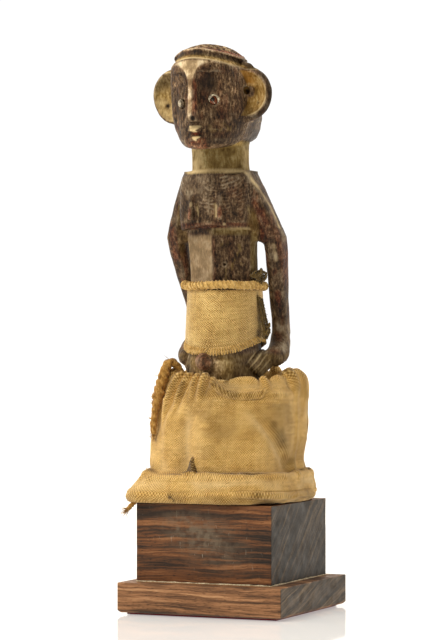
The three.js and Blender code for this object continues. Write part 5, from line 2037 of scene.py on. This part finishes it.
def sawn_block(name, low, high, edge, replaced, slot, materials, haze=None, foot=0.0):
    """A block with worn edges.

    haze is the middle, the size and the slope of a stain on the front. foot cuts back the lower edge.
    """
    low, high = np.array(low, float), np.array(high, float)
    count = 44
    ends = np.array([0, 0.25, 0.5, 0.75, 1])
    points, quads, seen = [], [], 0
    inner_low, inner_high = low + edge, high - edge
    for axis in range(3):
        u, v = [k for k in range(3) if k != axis]
        for sign in (-1, 1):
            ticks = []
            for k in (u, v):
                middle = np.linspace(inner_low[k], inner_high[k], count)
                ticks.append(
                    np.concatenate([low[k] + ends[:-1] * edge, middle, inner_high[k] + ends[1:] * edge])
                )
            a, b = np.meshgrid(*ticks, indexing="ij")
            p = np.zeros((*a.shape, 3))
            p[..., u], p[..., v], p[..., axis] = a, b, (high if sign > 0 else low)[axis]
            rows, cols = a.shape
            i, j = np.meshgrid(np.arange(rows - 1), np.arange(cols - 1), indexing="ij")
            start = i * cols + j
            q = np.stack([start, start + cols, start + cols + 1, start + 1], -1).reshape(-1, 4)
            flip = (sign > 0) != (axis == 1)
            quads.append((q if flip else q[:, ::-1]) + seen)
            points.append(p.reshape(-1, 3))
            seen += rows * cols
    points, quads = np.concatenate(points), np.concatenate(quads)
    key = np.round(points / 0.001).astype(np.int64)
    _, first, back = np.unique(key, axis=0, return_index=True, return_inverse=True)
    points, quads = points[first], back.ravel()[quads]
    core = np.clip(points, inner_low, inner_high)
    away = points - core
    length = np.linalg.norm(away, axis=1, keepdims=True)
    dent = 1 - 0.5 * step(0.2, 0.8, noise(points, 5, 81)) * step(0.5, 1.0, length / edge)[:, :1].ravel()
    points = core + away / np.maximum(length, 1e-9) * np.minimum(length, edge * dent[:, None])
    if foot:
        drop = np.clip((low[2] + foot - points[:, 2]) / foot, 0, 1)[:, None]
        centre = (low + high) / 2
        pull = np.sign(points - centre) * (np.abs(points - centre) > (high - low) / 2 - 3) * foot * drop
        pull[:, 2] = 0
        points = points - pull
    normal = quad_normals(points, quads)
    end = np.abs(normal[:, 0]) ** 4
    veil = np.zeros(len(points))
    if haze:
        (cx, cz), (wide, tall), slope = haze
        veil = np.exp(
            -(((points[:, 0] - cx) / wide) ** 2)
            - ((points[:, 2] - cz + slope * (points[:, 0] - cx)) / tall) ** 2
        )
        veil = veil * (normal[:, 1] < -0.5)
    return make_piece(name, points, quads, replaced, materials, attributes={"end": end, "haze": veil})


def box_mm(node):
    """The low and the high corner of a node's box, in mm."""
    return [np.array(corner) * 1000 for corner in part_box(node)]


def foot_dust():
    """Dust and old glue along the block's foot."""
    wax = Look("foot_dust")
    grit = wax.noise(0.7, 3)
    wax.finish(
        wax.ramp(grit, (0.35, rgb(150, 130, 98)), (0.65, rgb(222, 208, 178))),
        0.9,
        wax.bump(grit, 0.2, 0.8),
    )
    low, high = box_mm("plinth_block")
    corners = [(low[0], low[1]), (high[0], low[1]), (high[0], high[1]), (low[0], high[1])]
    path = []
    for (x0, y0), (x1, y1) in zip(corners, corners[1:] + corners[:1]):
        for s in np.linspace(0, 1, 120, endpoint=False):
            path.append((x0 + (x1 - x0) * s, y0 + (y1 - y0) * s, low[2] + 0.05))
    path = np.array(path)
    soup = Soup()
    soup.tube(path, 0.42 + 0.3 * noise(path, 3.1, 82), 6, closed=True)
    soup.piece("block_foot_dust", [wax.material], slot="rosewood")


def stand():
    block = rosewood(
        "rosewood_block", rgb(30, 23, 18), rgb(62, 42, 28), rgb(112, 70, 40), rgb(156, 108, 68), 0.95, 2.2,
        rgb(112, 98, 80), rgb(26, 22, 16), rgb(44, 38, 29), rgb(92, 80, 60),
    )
    slab = rosewood(
        "rosewood_slab", rgb(58, 41, 29), rgb(106, 73, 48), rgb(148, 104, 69), rgb(190, 145, 104), 0.3, 1.2,
        rgb(124, 108, 88), rgb(39, 33, 25), rgb(66, 57, 44), rgb(118, 102, 80),
    )
    haze = ((-3, 42), (20, 11), 0.35)
    sawn_block(
        "plinth_block_wood", *box_mm("plinth_block"), 0.35, ["plinth_block"], "rosewood", [block], haze
    )
    sawn_block("base_slab_wood", *box_mm("base_slab"), 0.4, ["base_slab"], "rosewood", [slab], foot=1.3)
    foot_dust()


stand()


def red_felt():
    felt = Look("red_felt")
    fibre, cloud = felt.noise(0.35, 3), felt.noise(4, 3)
    colour = felt.ramp(
        felt.total((fibre, 0.6), (cloud, 0.4)), (0.35, rgb(88, 14, 22)), (0.65, rgb(142, 34, 44))
    )
    return felt.finish(colour, 0.97, felt.bump(fibre, 0.25, 0.9), Sheen_Weight=0.3)


def zinc_steel():
    steel = Look("zinc_steel")
    scuff, brush = steel.noise(0.8, 3), steel.noise(0.2, 2, (1, 1, 8))
    colour = steel.ramp(scuff, (0.35, rgb(120, 118, 114)), (0.65, rgb(176, 174, 168)))
    rough = steel.ramp(brush, (0.3, 0.28), (0.7, 0.5))
    return steel.finish(colour, rough, steel.bump(brush, 0.03, 0.5), Metallic=1.0)


def carried_over():
    """Materials for the modelled solids that stay."""
    felt, steel = red_felt(), zinc_steel()
    for name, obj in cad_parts.items():
        if name == "felt_pad":
            material = felt
        elif name.startswith(("slab_screw", "mounting_pin")):
            material = steel
        else:
            continue
        if not obj.material_slots:
            obj.data.materials.append(material)
        for slot in obj.material_slots:
            slot.material = material


carried_over()

# ---------------------------------------------------------------- stage


# across the picture to the right, and from the object to the camera
RIGHTWARD = np.array((0.9153, 0.4028, 0))
TO_CAMERA = np.array((0.4028, -0.9153, 0))


def studio_floor():
    size = 8.0
    floor = bpy.data.meshes.new("studio_floor")
    floor.from_pydata(
        [(-size, -size, 0), (size, -size, 0), (size, size, 0), (-size, size, 0)], [], [(0, 1, 2, 3)]
    )
    plane = bpy.data.objects.new("studio_floor", floor)
    plane.location.z = -0.0002
    scene.collection.objects.link(plane)
    look = Look("studio_floor")
    pale = look.ramp(look.noise(900, 2), (0.3, rgb(226, 226, 225)), (0.7, rgb(232, 232, 232)))
    look.finish(pale, 0.05, Specular_IOR_Level=0.2, Emission_Color=(1, 1, 1, 1), Emission_Strength=0.3)
    floor.materials.append(look.material)


def studio_world():
    """A bright backdrop behind the object and dim air in front of it. Every camera sees white."""
    world = bpy.data.worlds.new("studio")
    world.use_nodes = True
    tree = world.node_tree
    background = tree.nodes["Background"]
    background.inputs["Color"].default_value = (1, 1, 1, 1)
    seen = tree.nodes.new("ShaderNodeLightPath").outputs["Is Camera Ray"]
    place = tree.nodes.new("ShaderNodeTexCoord").outputs["Generated"]
    side = tree.nodes.new("ShaderNodeVectorMath")
    side.operation = "DOT_PRODUCT"
    side.inputs[1].default_value = tuple(-TO_CAMERA)
    tree.links.new(place, side.inputs[0])
    level = tree.nodes.new("ShaderNodeMapRange")
    level.interpolation_type = "SMOOTHSTEP"
    tree.links.new(side.outputs["Value"], level.inputs[0])
    for key, value in zip(("From Min", "From Max", "To Min", "To Max"), (-0.3, 0.35, 0.2, 1.25)):
        level.inputs[key].default_value = value
    choice = tree.nodes.new("ShaderNodeMix")
    tree.links.new(seen, choice.inputs[0])
    tree.links.new(level.outputs[0], choice.inputs[2])
    choice.inputs[3].default_value = 1.05
    tree.links.new(choice.outputs[0], background.inputs["Strength"])
    tint = tree.nodes.new("ShaderNodeMix")
    tint.data_type = "RGBA"
    tree.links.new(seen, tint.inputs[0])
    tint.inputs[6].default_value = (1.0, 0.93, 0.83, 1)
    tint.inputs[7].default_value = (1, 1, 1, 1)
    tree.links.new(tint.outputs[2], background.inputs["Color"])
    scene.world = world


# metres to the right, towards the camera and up, width in degrees, and power
SOFTBOXES = [(-0.55, 0.5, 0.72, 30, 2.1), (-0.95, -0.1, 0.3, 20, 0.8), (0.95, 0.05, 0.35, 25, 0.6)]


def softboxes():
    for side, ahead, up, width, power in SOFTBOXES:
        lamp = bpy.data.lights.new("softbox", "SUN")
        lamp.angle, lamp.energy, lamp.color = math.radians(width), power, (1.0, 0.94, 0.84)
        obj = bpy.data.objects.new("softbox", lamp)
        obj.location = (RIGHTWARD * side + TO_CAMERA * ahead) + np.array((0, 0, up))
        obj.rotation_euler = (-Vector(obj.location)).to_track_quat("-Z", "Y").to_euler()
        scene.collection.objects.link(obj)


studio_floor()
studio_world()
softboxes()
scene.view_settings.view_transform = "Standard"
